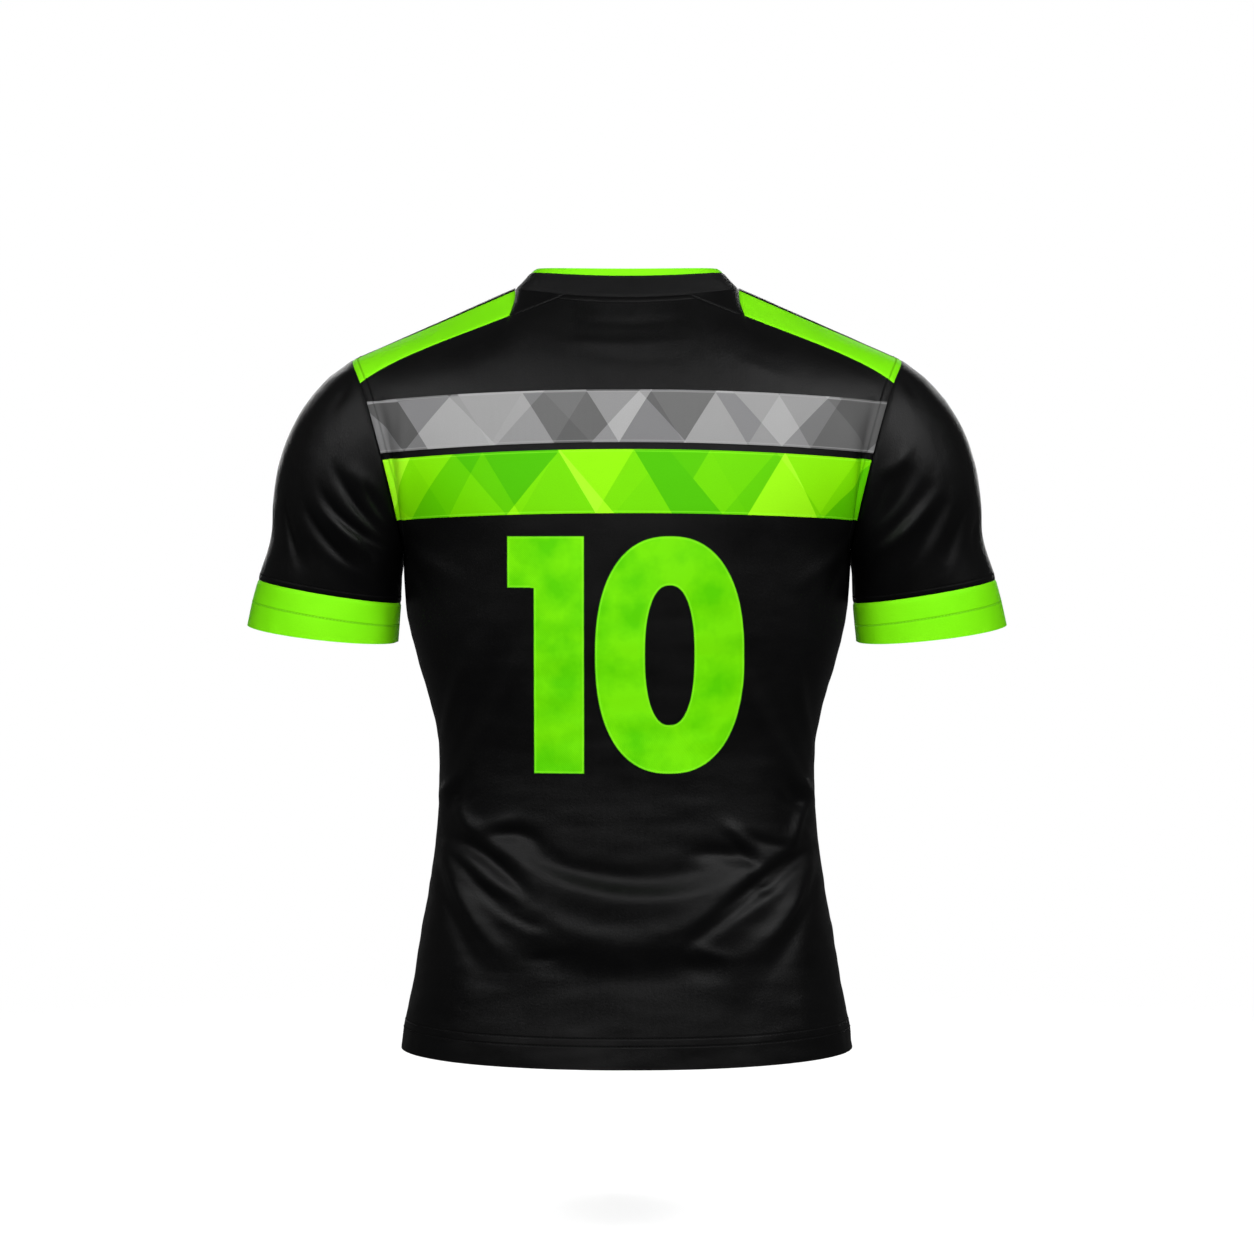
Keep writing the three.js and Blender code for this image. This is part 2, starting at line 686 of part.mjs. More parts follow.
function mirrored(grid) {
  return grid.map((row) => row.map((p) => new THREE.Vector3(-p.x, p.y, p.z)));
}

for (const [side, place, outward] of [["left", mirrored, 1], ["right", (grid) => grid, -1]]) {
  jersey.add(sheet(`sleeve_${side}`, place(foldedSleeve), BLACK, { closed: true, outward }));
  jersey.add(sheet(`cuff_${side}`, place(cuffGrid), LIME, { closed: true, outward }));
}

// Collar rings follow the columns of the neck, round the back and then the front
const COLLAR_FRONT_POWER = 1.3;
const neckTurns = NECK_COLUMNS.map((share) => share * (Math.PI / 2));
const ringStops = [
  ...neckTurns.map((turn) => ({ half: BACK, turn, way: 1 })),
  ...neckTurns.slice(0, -1).reverse().map((turn) => ({ half: FRONT, turn, way: 1 })),
  ...neckTurns.slice(1).map((turn) => ({ half: FRONT, turn, way: -1 })),
  ...neckTurns.slice(1, -1).reverse().map((turn) => ({ half: BACK, turn, way: -1 })),
];

function collarPoint(ring, { half, turn, way }) {
  const swing = Math.cos(turn);
  const atBack = half === BACK;
  const endY = atBack ? ring.backY : ring.frontY;
  const endZ = atBack ? ring.backZ : ring.frontZ;
  const power = atBack ? NECK_BACK.power : COLLAR_FRONT_POWER;
  return new THREE.Vector3(
    way * ring.half * Math.sin(turn),
    endY * swing,
    THREE.MathUtils.lerp(ring.sideZ, endZ, Math.pow(swing, power)),
  );
}

const QUARTER_TURN = Math.PI / 2;
const seamRing = ringStops.map(({ half, turn, way }) =>
  topPoint(half, (way * turn * NECK_SHARE) / QUARTER_TURN),
);
const upRing = ringStops.map((stop) => collarPoint(COLLAR_RINGS[0], stop));
const liftedSeam = seamRing.map((p, i) => p.clone().lerp(upRing[i], SEAM_GAP / p.distanceTo(upRing[i])));
const collarGrid = [liftedSeam, ...COLLAR_RINGS.map((ring) => ringStops.map((s) => collarPoint(ring, s)))];
const trimGrid = TRIM_RINGS.map((ring) => ringStops.map((s) => collarPoint(ring, s)));
jersey.add(sheet("collar", collarGrid, BLACK, { closed: true }));
jersey.add(sheet("collar_trim", trimGrid, LIME, { closed: true }));

// Bands are the back panel's own points, moved out
function band(name, { top, bottom }, look) {
  const rows = backCut.filter((_, i) => backRows[i] >= bottom && backRows[i] <= top);
  const grid = rows.map((points) => {
    const row = points.map((p) => p.clone());
    const ends = [[0, 1], [row.length - 1, row.length - 2]];
    ends.forEach(([end, next]) => {
      const way = row[next].clone().sub(row[end]).normalize();
      row[end].addScaledVector(way, BAND_END_GAP);
    });
    return row;
  });
  return sheet(name, grid, look, { lift: PRINT_LIFT + PRINT, thick: PRINT });
}

jersey.add(band("band_grey", GREY_BAND, GREY));
jersey.add(band("band_lime", LIME_BAND, LIME));

// Figure 0: rings between its outline and its bore
function zeroPoint(turn, share) {
  const round = 2 / ZERO_SQUARENESS;
  const swell = (value) => Math.sign(value) * Math.pow(Math.abs(value), round);
  const middle = (NUMBER_TOP + NUMBER_BOTTOM) / 2;
  const boreMiddle = (DIGIT_ZERO.boreTop + DIGIT_ZERO.boreBottom) / 2;
  const half = THREE.MathUtils.lerp(DIGIT_ZERO.bore, DIGIT_ZERO.half, share);
  const boreHigh = (DIGIT_ZERO.boreTop - DIGIT_ZERO.boreBottom) / 2;
  const high = THREE.MathUtils.lerp(boreHigh, (NUMBER_TOP - NUMBER_BOTTOM) / 2, share);
  const x = DIGIT_ZERO.middle + half * swell(Math.cos(turn));
  const z = THREE.MathUtils.lerp(boreMiddle, middle, share) + high * swell(Math.sin(turn));
  return backAt(x, z);
}

const zeroGrid = steps(1, 0, 2).map((share) =>
  steps(0, 2 * Math.PI, ZERO_SEGMENTS).slice(0, -1).map((turn) => zeroPoint(turn, share)),
);
const DIGIT_LOOK = { lift: DIGIT_LIFT + PRINT, thick: PRINT };
jersey.add(sheet("digit_zero", zeroGrid, LIME, { closed: true, ...DIGIT_LOOK }));

// Figure 1: one column of cloth from flag to foot, whose left edge steps in below the flag
function oneSolid() {
  const { left, stem, right, flagBottom } = DIGIT_ONE;
  const inside = (x, z) => x >= stem || z >= flagBottom;
  const across = [left, (left + stem) / 2, stem, (stem + right) / 2, right];
  const up = [...steps(NUMBER_BOTTOM, flagBottom, 7), ...steps(flagBottom, NUMBER_TOP, 3).slice(1)];
  const grid = up.map((z) => across.map((x) => backAt(x, z)));
  const normals = gridNormals(grid, false, 1);
  const outer = moved(grid, normals, DIGIT_LIFT + PRINT);
  const inner = moved(grid, normals, DIGIT_LIFT);
  const positions = [];
  const quad = (a, b, c, d) => [a, b, c, a, c, d].forEach((p) => positions.push(p.x, p.y, p.z));
  const filled = (i, j) => {
    const within = i >= 0 && j >= 0 && i < up.length - 1 && j < across.length - 1;
    return within && inside((across[j] + across[j + 1]) / 2, (up[i] + up[i + 1]) / 2);
  };
  for (let i = 0; i < up.length - 1; i += 1) {
    for (let j = 0; j < across.length - 1; j += 1) {
      if (!filled(i, j)) {
        continue;
      }
      quad(outer[i][j], outer[i][j + 1], outer[i + 1][j + 1], outer[i + 1][j]);
      quad(inner[i][j], inner[i + 1][j], inner[i + 1][j + 1], inner[i][j + 1]);
      if (!filled(i - 1, j)) {
        quad(outer[i][j + 1], outer[i][j], inner[i][j], inner[i][j + 1]);
      }
      if (!filled(i + 1, j)) {
        quad(outer[i + 1][j], outer[i + 1][j + 1], inner[i + 1][j + 1], inner[i + 1][j]);
      }
      if (!filled(i, j - 1)) {
        quad(outer[i][j], outer[i + 1][j], inner[i + 1][j], inner[i][j]);
      }
      if (!filled(i, j + 1)) {
        quad(outer[i + 1][j + 1], outer[i][j + 1], inner[i][j + 1], inner[i + 1][j + 1]);
      }
    }
  }
  const geometry = new THREE.BufferGeometry();
  geometry.setAttribute("position", new THREE.Float32BufferAttribute(positions, 3));
  return mergeVertices(geometry, SAME_POINT);
}

jersey.add(piece("digit_one", oneSolid(), LIME));

export default jersey;
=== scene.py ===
"""Short-sleeved football jersey, hollow in the form it has when worn, seen from behind.

Sizes are millimetres in the frame of the CAD part: X to the wearer's right, Y to the front and Z up.
MM turns them into metres when a mesh is made. Left and right are the picture's, seen from behind.
"""

import logging
import math
from collections.abc import Callable, Sequence
from dataclasses import dataclass
from enum import Enum
from typing import Any, NamedTuple

import bpy
import numpy as np
from mathutils import Matrix, Vector, noise


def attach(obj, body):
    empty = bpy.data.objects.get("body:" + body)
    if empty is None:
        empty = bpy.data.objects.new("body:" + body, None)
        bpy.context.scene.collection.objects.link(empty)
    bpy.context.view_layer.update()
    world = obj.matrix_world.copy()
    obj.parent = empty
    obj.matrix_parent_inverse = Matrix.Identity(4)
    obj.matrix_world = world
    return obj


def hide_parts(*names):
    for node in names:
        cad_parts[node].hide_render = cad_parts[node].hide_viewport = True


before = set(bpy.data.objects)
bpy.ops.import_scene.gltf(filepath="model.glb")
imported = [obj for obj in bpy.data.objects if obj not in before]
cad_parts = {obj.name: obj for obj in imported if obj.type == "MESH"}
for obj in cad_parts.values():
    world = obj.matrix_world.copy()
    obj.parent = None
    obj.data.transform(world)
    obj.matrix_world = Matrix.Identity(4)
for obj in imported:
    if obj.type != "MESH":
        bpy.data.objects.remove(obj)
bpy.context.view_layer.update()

log = logging.getLogger("jersey")

Array = np.ndarray
Colour = tuple[float, float, float]
Place = tuple[float, float, float]

MM = 0.001

# Cloth and seams
CLOTH = 1.2
SEAM_GAP = 0.42
ARMHOLE_GAP = 0.42
PITCH = 3.0  # between neighbouring points of a cloth mesh
SOFT_STOPS = (0.6, 1.5)  # further points beside a sewn edge, where the cloth turns in
EDGE_DIP = 0.7  # how far a sewn edge turns in
ALLOWANCE = 2.6  # how far a seam allowance runs on under the neighbour
ALLOWANCE_DROP = 1.6  # how far below the cloth's own face it lies
PULL_REACH = 4.0  # distance over which the cloth is drawn in from a trimmed edge
EDGE_DIP_REACH = 1.5  # how far from the edge it starts to turn
STILL_EDGE = 7.0  # distance over which folds fade out towards a seam
LEAST_CUT = 10.1  # least length that a piece's cut is logged as; the frame takes no cut that is narrower than about this
EASED_REACH = 60.0  # distance above and below the armpits over which the body is evened out
STITCH_REACH = 6.0  # furthest distance from a stitch line that a mesh records
THREAD_LIFT = 0.05  # how far the middle of a stitch lies above the cloth
LOOP_WIDTH = 1.0  # a loop of the knit
LOOP_HEIGHT = 0.8

# Outline of the garment, shared with the CAD part
NECK_HALF = 100.5
NECK_SEAM_Y = -5.0
SHOULDER_TIP = (246.0, -63.0)
ARMPIT = (201.0, -238.0)
ARMHOLE_MIDDLE = (SHOULDER_TIP[1] + ARMPIT[1]) / 2
ARMHOLE_HALF = (SHOULDER_TIP[1] - ARMPIT[1]) / 2
HEM = -683.0
CHEST = -300.0  # height at which the columns are evenly spaced
LINES_APART = -500.0  # below it the stitched lines are the hem's, and above it the seams'
CURL_REACH = 0.4
NECK_SHARE = 0.37
GUSSET_TIP = 0.37 * NECK_SHARE
SHOULDER_PANEL_DROP = (25.0, 22.5)
HALVINGS = 36
PLACE_PASSES = 12
LEAST_STEP = 0.45  # nearest that an even stop comes to a further one
TINY = 1e-6
LEAST_LENGTH = 1e-9  # keeps a division by a length safe


class Level(NamedTuple):
    """A size of the cloth at one height."""

    z: float
    size: float


class Fold(NamedTuple):
    """A soft ridge, or a trough if its height is negative, through three places seen square on.

    lean is how much wider it is on the side to the right of its way than on the left.
    """

    x0: float
    z0: float
    x1: float
    z1: float
    x2: float
    z2: float
    height: float
    spread: float
    lean: float = 1.0


class Facing(Enum):
    """The side of the garment that a fold lies on."""

    BACK = -1.0
    FRONT = 1.0


class Section(NamedTuple):
    """An oval of a sleeve: its outer and inner points, and how far it reaches to each side."""

    out_x: float
    out_z: float
    in_x: float
    in_z: float
    back: float
    front: float
    sag: float


class Ring(NamedTuple):
    """A ring of the collar."""

    half: float
    back_y: float
    back_z: float
    front_y: float
    front_z: float
    side_z: float


# Half width of the body at the side seams, by height
HALF_WIDTHS = (
    Level(-683, 202.5), Level(-656, 199), Level(-620, 192), Level(-584, 186.5), Level(-548, 180),
    Level(-512, 174.5), Level(-476, 170.5), Level(-440, 168.8), Level(-404, 169.6), Level(-368, 177),
    Level(-332, 187.6), Level(-296, 196.6), Level(-265, 199.8), Level(-238, 201),
)


def smooth_through(keys: Sequence[float], values: Sequence[float]) -> Callable[[Array], Array]:
    """Makes a smooth curve through pairs of numbers.

    Args:
        keys: Where each value holds.
        values: The values.

    Returns:
        A function from a place to the value there, held at the ends.
    """
    order = np.argsort(keys)
    x = np.asarray(keys, float)[order]
    y = np.asarray(values, float)[order]
    index = np.arange(len(x))
    before = np.maximum(index - 1, 0)
    after = np.minimum(index + 1, len(x) - 1)
    slopes = (y[after] - y[before]) / (x[after] - x[before])

    def value_at(place: Array) -> Array:
        place = np.clip(place, x[0], x[-1])
        i = np.clip(np.searchsorted(x, place, side="right") - 1, 0, len(x) - 2)
        span = x[i + 1] - x[i]
        s = (place - x[i]) / span
        rise = 3 * s**2 - 2 * s**3
        bends = slopes[i] * s * (1 - s) ** 2 - slopes[i + 1] * s**2 * (1 - s)
        return y[i] * (1 - rise) + y[i + 1] * rise + span * bends

    return value_at


def by_height(table: Sequence[Level]) -> Callable[[Array], Array]:
    """Returns the smooth curve through a table of sizes by height."""
    return smooth_through([row.z for row in table], [row.size for row in table])


def smoothstep(value: Array, low: float, high: float) -> Array:
    """Returns 0 below low, 1 above high and a smooth rise between."""
    s = np.clip((np.asarray(value, float) - low) / (high - low), 0, 1)
    return s * s * (3 - 2 * s)


def mix(a: Any, b: Any, share: Any) -> Any:
    """Returns the value that lies at a share of the way from a to b."""
    return a + (b - a) * share


def unit(vectors: Array) -> Array:
    """Returns vectors of length one."""
    return vectors / np.maximum(np.linalg.norm(vectors, axis=-1, keepdims=True), LEAST_LENGTH)


def stops(length: float, soft_start: bool = False, soft_end: bool = False,
          also: Sequence[float] = (), pitch: float = PITCH) -> Array:
    """Divides a length of cloth.

    Args:
        length: The length.
        soft_start: Whether the start is sewn, and so has further points.
        soft_end: Whether the end is sewn.
        also: Further places, measured back from the end.
        pitch: The usual distance between points.

    Returns:
        The places as fractions of the length, from 0 to 1.
    """
    places = np.linspace(0, length, max(2, round(length / pitch)) + 1)
    extra = [*(SOFT_STOPS if soft_start else ()), *(length - s for s in also)]
    extra += [length - s for s in SOFT_STOPS] if soft_end else []
    clear = [p for p in places if all(abs(p - e) > LEAST_STEP for e in extra) or p in (0, length)]
    return np.array(sorted([*clear, *extra])) / length


def grid_normals(grid: Array, closed: bool = False) -> Array:
    """Finds the normals of a grid whose rows run right and whose columns rise, seen from outside.

    Args:
        grid: Points, as rows by columns by three.
        closed: Whether the last column joins the first.

    Returns:
        Unit normals in the same layout.
    """
    rise = np.gradient(grid, axis=0)
    along = np.roll(grid, -1, 1) - np.roll(grid, 1, 1) if closed else np.gradient(grid, axis=1)
    return unit(np.cross(along, rise))


def run_lengths(points: Array, axis: int) -> Array:
    """Returns how far each point lies along its row or column, measured over the cloth."""
    steps = np.linalg.norm(np.diff(points, axis=axis), axis=-1)
    pad = [(0, 0), (0, 0)]
    pad[axis] = (1, 0)
    return np.cumsum(np.pad(steps, pad), axis=axis)


def nearest(route: Array, points: Array) -> tuple[Array, Array, Array]:
    """Measures points from a route.

    Args:
        route: Points of the route in order.
        points: Any number of points.

    Returns:
        The distance, the share of the route at which it is least, and 1 on the left of the route's
        way or -1 on the right, seen from behind.
    """
    flat = points.reshape(-1, 3)
    best = np.full(len(flat), np.inf)
    share = np.zeros(len(flat))
    side = np.ones(len(flat))
    for i, start in enumerate(route[:-1]):
        step = route[i + 1] - start
        along = np.clip((flat - start) @ step / max(step @ step, LEAST_LENGTH), 0, 1)
        away = flat - start - along[:, None] * step
        distance = np.sqrt(np.einsum("ij,ij->i", away, away))
        closer = distance < best
        best[closer] = distance[closer]
        share[closer] = (i + along[closer]) / (len(route) - 1)
        side[closer] = np.sign(step[0] * away[closer, 2] - step[2] * away[closer, 0])
    shape = points.shape[:-1]
    return best.reshape(shape), share.reshape(shape), side.reshape(shape)


FOLD_STEPS = 14
FOLD_END_FADE = 0.06
LEAST_FACING = 0.12  # how squarely cloth faces the viewer where a fold is laid


def fold_route(fold: Fold, grid: Array, normals: Array, facing: Facing) -> Array:
    """Lays a fold's line on the cloth.

    Args:
        fold: The fold, as seen square on.
        grid: The cloth.
        normals: The cloth's normals.
        facing: The side that the fold lies on.

    Returns:
        Points of the line.
    """
    flat = grid.reshape(-1, 3)
    ways = normals.reshape(-1, 3)
    usable = np.flatnonzero(ways[:, 1] * facing.value > LEAST_FACING)
    flat, ways = flat[usable], ways[usable]
    turn_x = 2 * fold.x1 - (fold.x0 + fold.x2) / 2
    turn_z = 2 * fold.z1 - (fold.z0 + fold.z2) / 2
    route = []
    for t in np.linspace(0, 1, FOLD_STEPS + 1):
        x = (1 - t) ** 2 * fold.x0 + 2 * t * (1 - t) * turn_x + t * t * fold.x2
        z = (1 - t) ** 2 * fold.z0 + 2 * t * (1 - t) * turn_z + t * t * fold.z2
        i = np.argmin((flat[:, 0] - x) ** 2 + (flat[:, 2] - z) ** 2)
        side, forth, up = ways[i]
        lean = (side * (x - flat[i, 0]) + up * (z - flat[i, 2])) / forth
        route.append((x, flat[i, 1] - np.clip(lean, -PITCH, PITCH), z))
    return np.array(route)


def fold_lift(folds: Sequence[Fold], grid: Array, normals: Array, facing: Facing) -> Array:
    """Works out how far folds lift each point of the cloth.

    Args:
        folds: The folds of one side.
        grid: The cloth before it is folded.
        normals: Its normals.
        facing: The side that the folds lie on.

    Returns:
        The lift of each point.
    """
    lift = np.zeros(grid.shape[:2])
    for fold in folds:
        away, share, side = nearest(fold_route(fold, grid, normals, facing), grid)
        fade = np.sin(math.pi * mix(FOLD_END_FADE, 1 - FOLD_END_FADE, share))
        spread = np.where(side > 0, fold.spread, fold.spread * fold.lean)
        lift += fold.height * fade * np.exp(-((away / spread) ** 2))
    return lift


def ripples(grid: Array, size: tuple[float, float, float], seed: float) -> Array:
    """Returns an uneven relief from -1 to 1 over the cloth, with waves of the given size."""
    places = grid.reshape(-1, 3) / np.array(size) + seed
    values = [noise.noise(Vector(p)) + 0.5 * noise.noise(Vector(2.1 * p)) for p in places]
    return np.array(values).reshape(grid.shape[:2])


class Edges(NamedTuple):
    """Edges of a piece: its first and last rows and columns."""

    bottom: bool = False
    top: bool = False
    first: bool = False
    last: bool = False


def pulled_in(grid: Array, by: float, edges: Edges, below: Array | bool = True) -> Array:
    """Draws the cloth in from its edges, to leave a seam's gap.

    Args:
        grid: The cloth.
        by: How far an edge moves. Points further in move less.
        edges: The edges that move.
        below: The rows whose side edges move.

    Returns:
        The moved points.
    """
    result = grid.copy()
    up, across = run_lengths(grid, 0), run_lengths(grid, 1)
    rows = np.broadcast_to(np.asarray(below), len(grid))[:, None, None]
    ends = (
        (edges.bottom, up, unit(grid[2:3] - grid[:1]), 1),
        (edges.top, up[-1:] - up, unit(grid[-3:-2] - grid[-1:]), 1),
        (edges.first, across, unit(grid[:, 2:3] - grid[:, :1]), rows),
        (edges.last, across[:, -1:] - across, unit(grid[:, -3:-2] - grid[:, -1:]), rows),
    )
    for moves, away, way, where in ends:
        if moves:
            result += way * (by * np.exp(-away / PULL_REACH))[..., None] * where
    return result


def with_allowances(grid: Array, normals: Array, edges: Edges) -> Array:
    """Adds a narrow row of cloth along each sewn edge that runs on under the neighbour.

    Args:
        grid: The cloth.
        normals: Its normals.
        edges: The sewn edges.

    Returns:
        The points with the further rows and columns.
    """
    ends = ((edges.bottom, 0, 0), (edges.top, 0, -1), (edges.first, 1, 0), (edges.last, 1, -1))
    for moves, axis, end in ends:
        if moves:
            edge, turn = grid.take([end], axis=axis), normals.take([end], axis=axis)
            onward = unit(edge - grid.take([1 if end == 0 else -2], axis=axis))
            edge = edge - turn * ALLOWANCE_DROP + onward * ALLOWANCE
            grid = np.concatenate([edge, grid] if end == 0 else [grid, edge], axis=axis)
            normals = np.concatenate([turn, normals] if end == 0 else [normals, turn], axis=axis)
    return grid


def padded_as(values: Array, edges: Edges) -> Array:
    """Repeats the values of a piece's sewn edges, to match its seam allowances."""
    widths = np.array([(edges.bottom, edges.top), (edges.first, edges.last)], dtype=int)
    return np.pad(values, widths, mode="edge")


class Nodes:
    """Builds one material's nodes."""

    def __init__(self, name: str) -> None:
        """Starts an empty material."""
        self.material = bpy.data.materials.new(name)
        self.material.use_nodes = True
        self.tree = self.material.node_tree
        self.tree.nodes.clear()

    def add(self, kind: str, inputs: dict[Any, Any] | None = None, **settings: Any) -> bpy.types.Node:
        """Adds a node.

        Args:
            kind: The node's type, without its prefix.
            inputs: Values or sockets by the name or number of an input.
            **settings: The node's own settings.

        Returns:
            The node.
        """
        node = self.tree.nodes.new("ShaderNode" + kind)
        for key, value in settings.items():
            setattr(node, key, value)
        for key, value in (inputs or {}).items():
            self.feed(node.inputs[key], value)
        return node

    def feed(self, socket: bpy.types.NodeSocket, value: Any) -> None:
        """Links an output to an input, or sets the input's value."""
        if isinstance(value, bpy.types.NodeSocket):
            self.tree.links.new(value, socket)
        else:
            socket.default_value = value

    def maths(self, operation: str, *values: Any) -> bpy.types.NodeSocket:
        """Adds a Math node and returns its result."""
        return self.add("Math", dict(enumerate(values)), operation=operation).outputs[0]

    def attribute(self, name: str) -> bpy.types.NodeSocket:
        """Returns a number that the mesh holds for each point."""
        return self.add("Attribute", attribute_name=name).outputs["Fac"]

    def beside_line(self, name: str) -> bpy.types.NodeSocket:
        """Returns 0 on a stitched line and 1 a little way beside it."""
        off = self.maths("ABSOLUTE", self.attribute(name))
        return self.ranged(off, 0.0, LINE_HALF, 0.0, 1.0, "SMOOTHSTEP")

    def along_rim(self, at: float, full: float, gone: float, share: float) -> bpy.types.NodeSocket:
        """Returns a share that a line at a distance from the rim has up to full, and that ends at gone."""
        off = self.maths("ABSOLUTE", self.maths("SUBTRACT", self.attribute(RIM), at))
        return self.ranged(off, full, gone, share, 0.0)

    def ranged(self, value: Any, low: float, high: float, start: float, end: float,
               kind: str = "LINEAR") -> bpy.types.NodeSocket:
        """Returns a value that runs from start to end as the given one runs from low to high."""
        inputs = dict(enumerate((value, low, high, start, end)))
        return self.add("MapRange", inputs, interpolation_type=kind).outputs[0]

    def wave(self, place: Any, length: float) -> bpy.types.NodeSocket:
        """Returns a sine wave over places in metres, with its length in millimetres."""
        return self.maths("SINE", self.maths("MULTIPLY", place, TURN / (length * MM)))

    def grain(self, place: Any, scale: float, detail: float = 2.0) -> bpy.types.NodeSocket:
        """Returns a noise from 0 to 1."""
        return self.add("TexNoise", {"Vector": place, "Scale": scale, "Detail": detail}).outputs[0]

    def cloth_place(self) -> tuple[bpy.types.NodeSocket, bpy.types.NodeSocket, bpy.types.NodeSocket]:
        """Returns the place on the cloth as a vector, and its two parts, in metres."""
        place = self.add("UVMap", uv_map=CLOTH_MAP).outputs[0]
        parts = self.add("SeparateXYZ", {0: place})
        return place, parts.outputs[0], parts.outputs[1]

    def ramp(self, value: Any, *colours: tuple[float, Colour]) -> bpy.types.NodeSocket:
        """Adds a colour ramp and returns its colour."""
        node = self.add("ValToRGB", {0: value})
        elements = node.color_ramp.elements
        while len(elements) < len(colours):
            elements.new(1)
        for element, (at, colour) in zip(elements, colours, strict=True):
            element.position = at
            element.color = (*colour, 1)
        return node.outputs[0]

    def blend(self, share: Any, a: Any, b: Any, kind: str = "MIX") -> bpy.types.NodeSocket:
        """Mixes two colours and returns the result."""
        node = self.add("Mix", data_type="RGBA", blend_type=kind)
        colour_a, colour_b = [s for s in node.inputs if s.type == "RGBA"]
        for socket, value in ((node.inputs[0], share), (colour_a, a), (colour_b, b)):
            self.feed(socket, (*value, 1) if isinstance(value, tuple) else value)
        return next(s for s in node.outputs if s.type == "RGBA")

    def finish(self, colour: Any, roughness: Any, height: Any, depth: float,
               **constants: Any) -> bpy.types.Material:
        """Adds the surface shader.

        Args:
            colour: The base colour.
            roughness: The roughness.
            height: The relief, from 0 to 1.
            depth: What a relief of 1 comes to, in metres.
            **constants: The shader's other inputs, with underscores for spaces.

        Returns:
            The finished material.
        """
        bump = self.add("Bump", {"Height": height, "Distance": depth, "Strength": 1.0})
        shader = self.add("BsdfPrincipled", {
            "Base Color": colour, "Roughness": roughness, "Normal": bump.outputs[0],
            **{key.replace("_", " "): value for key, value in constants.items()},
        })
        self.add("OutputMaterial", {"Surface": shader.outputs[0]})
        return self.material


CLOTH_MAP = "cloth"
STITCH_A = "stitch_a"
STITCH_B = "stitch_b"
RIM = "rim"
ROW_START = 0.2  # keeps the first row of facets below the edge of its band
LINE_HALF = 1.4  # half width of the groove that a row of stitches presses
TURN = 2 * math.pi
# painted shade: the colour that the grooves of stitched lines are darkened towards
GROOVE_SHADE_BLACK = (0.0, 0.0, 0.0)


@dataclass(frozen=True)
class Knit:
    """Smooth knitted polyester: fine columns of loops, with stitched lines pressed into it and painted shade
    darkening their grooves.
    """

    name: str
    colour: Colour
    light: Colour
    rough: float = 0.42
    loop_relief: float = 0.035
    leg_slope: float = 1.1
    grain: float = 0.16
    groove: float = 0.26
    groove_painted_shade: float = 0.4  # painted shade: how much darker a stitched line's groove is painted, and how much rougher it is
    specular: float = 0.23

    def make(self) -> bpy.types.Material:
        """Returns the material."""
        n = Nodes(self.name)
        place, across, up = n.cloth_place()
        leg = n.maths("PINGPONG", across, LOOP_WIDTH / 2 * MM)
        slant = n.maths("MULTIPLY_ADD", leg, self.leg_slope, up)
        loops = n.maths("ADD", n.wave(across, LOOP_WIDTH), n.wave(slant, LOOP_HEIGHT))
        relief = n.maths("MULTIPLY", loops, self.loop_relief * MM / 2)
        relief = n.maths("MULTIPLY_ADD", n.grain(place, 520.0), self.grain * MM, relief)
        away_from_groove = n.maths("MULTIPLY", n.beside_line(STITCH_A), n.beside_line(STITCH_B))
        relief = n.maths("MULTIPLY_ADD", away_from_groove, self.groove * MM, relief)
        wide = n.grain(place, 16.0, 3.0)
        tone = n.maths("MULTIPLY_ADD", n.grain(place, 1100.0), 0.5, n.maths("MULTIPLY", wide, 0.5))
        colour = n.ramp(tone, (0.36, self.colour), (0.66, self.light))
        shade = self.groove_painted_shade
        # painted shade: the colour darkens towards black in the stitched grooves
        colour = n.blend(n.maths("MULTIPLY_ADD", away_from_groove, -shade, shade), colour, GROOVE_SHADE_BLACK)
        rough = n.ranged(wide, 0.3, 0.7, self.rough - 0.05, self.rough + 0.06)
        rough = n.maths("MULTIPLY_ADD", away_from_groove, -shade, n.maths("ADD", rough, shade))
        return n.finish(colour, rough, relief, 1.0, Specular_IOR_Level=self.specular)


@dataclass(frozen=True)
class RibKnit:
    """Knitted rib of a collar, with ribs that run up it."""

    name: str
    colour: Colour
    light: Colour
    rib: float = 1.9
    relief: float = 0.28

    def make(self) -> bpy.types.Material:
        """Returns the material."""
        n = Nodes(self.name)
        place, across, up = n.cloth_place()
        ribs = n.maths("MULTIPLY", n.wave(across, self.rib), self.relief * MM / 2)
        relief = n.maths("MULTIPLY_ADD", n.wave(up, LOOP_HEIGHT), 0.12 * self.relief * MM, ribs)
        colour = n.ramp(n.grain(place, 900.0), (0.35, self.colour), (0.7, self.light))
        return n.finish(colour, 0.5, relief, 1.0, Specular_IOR_Level=0.22)


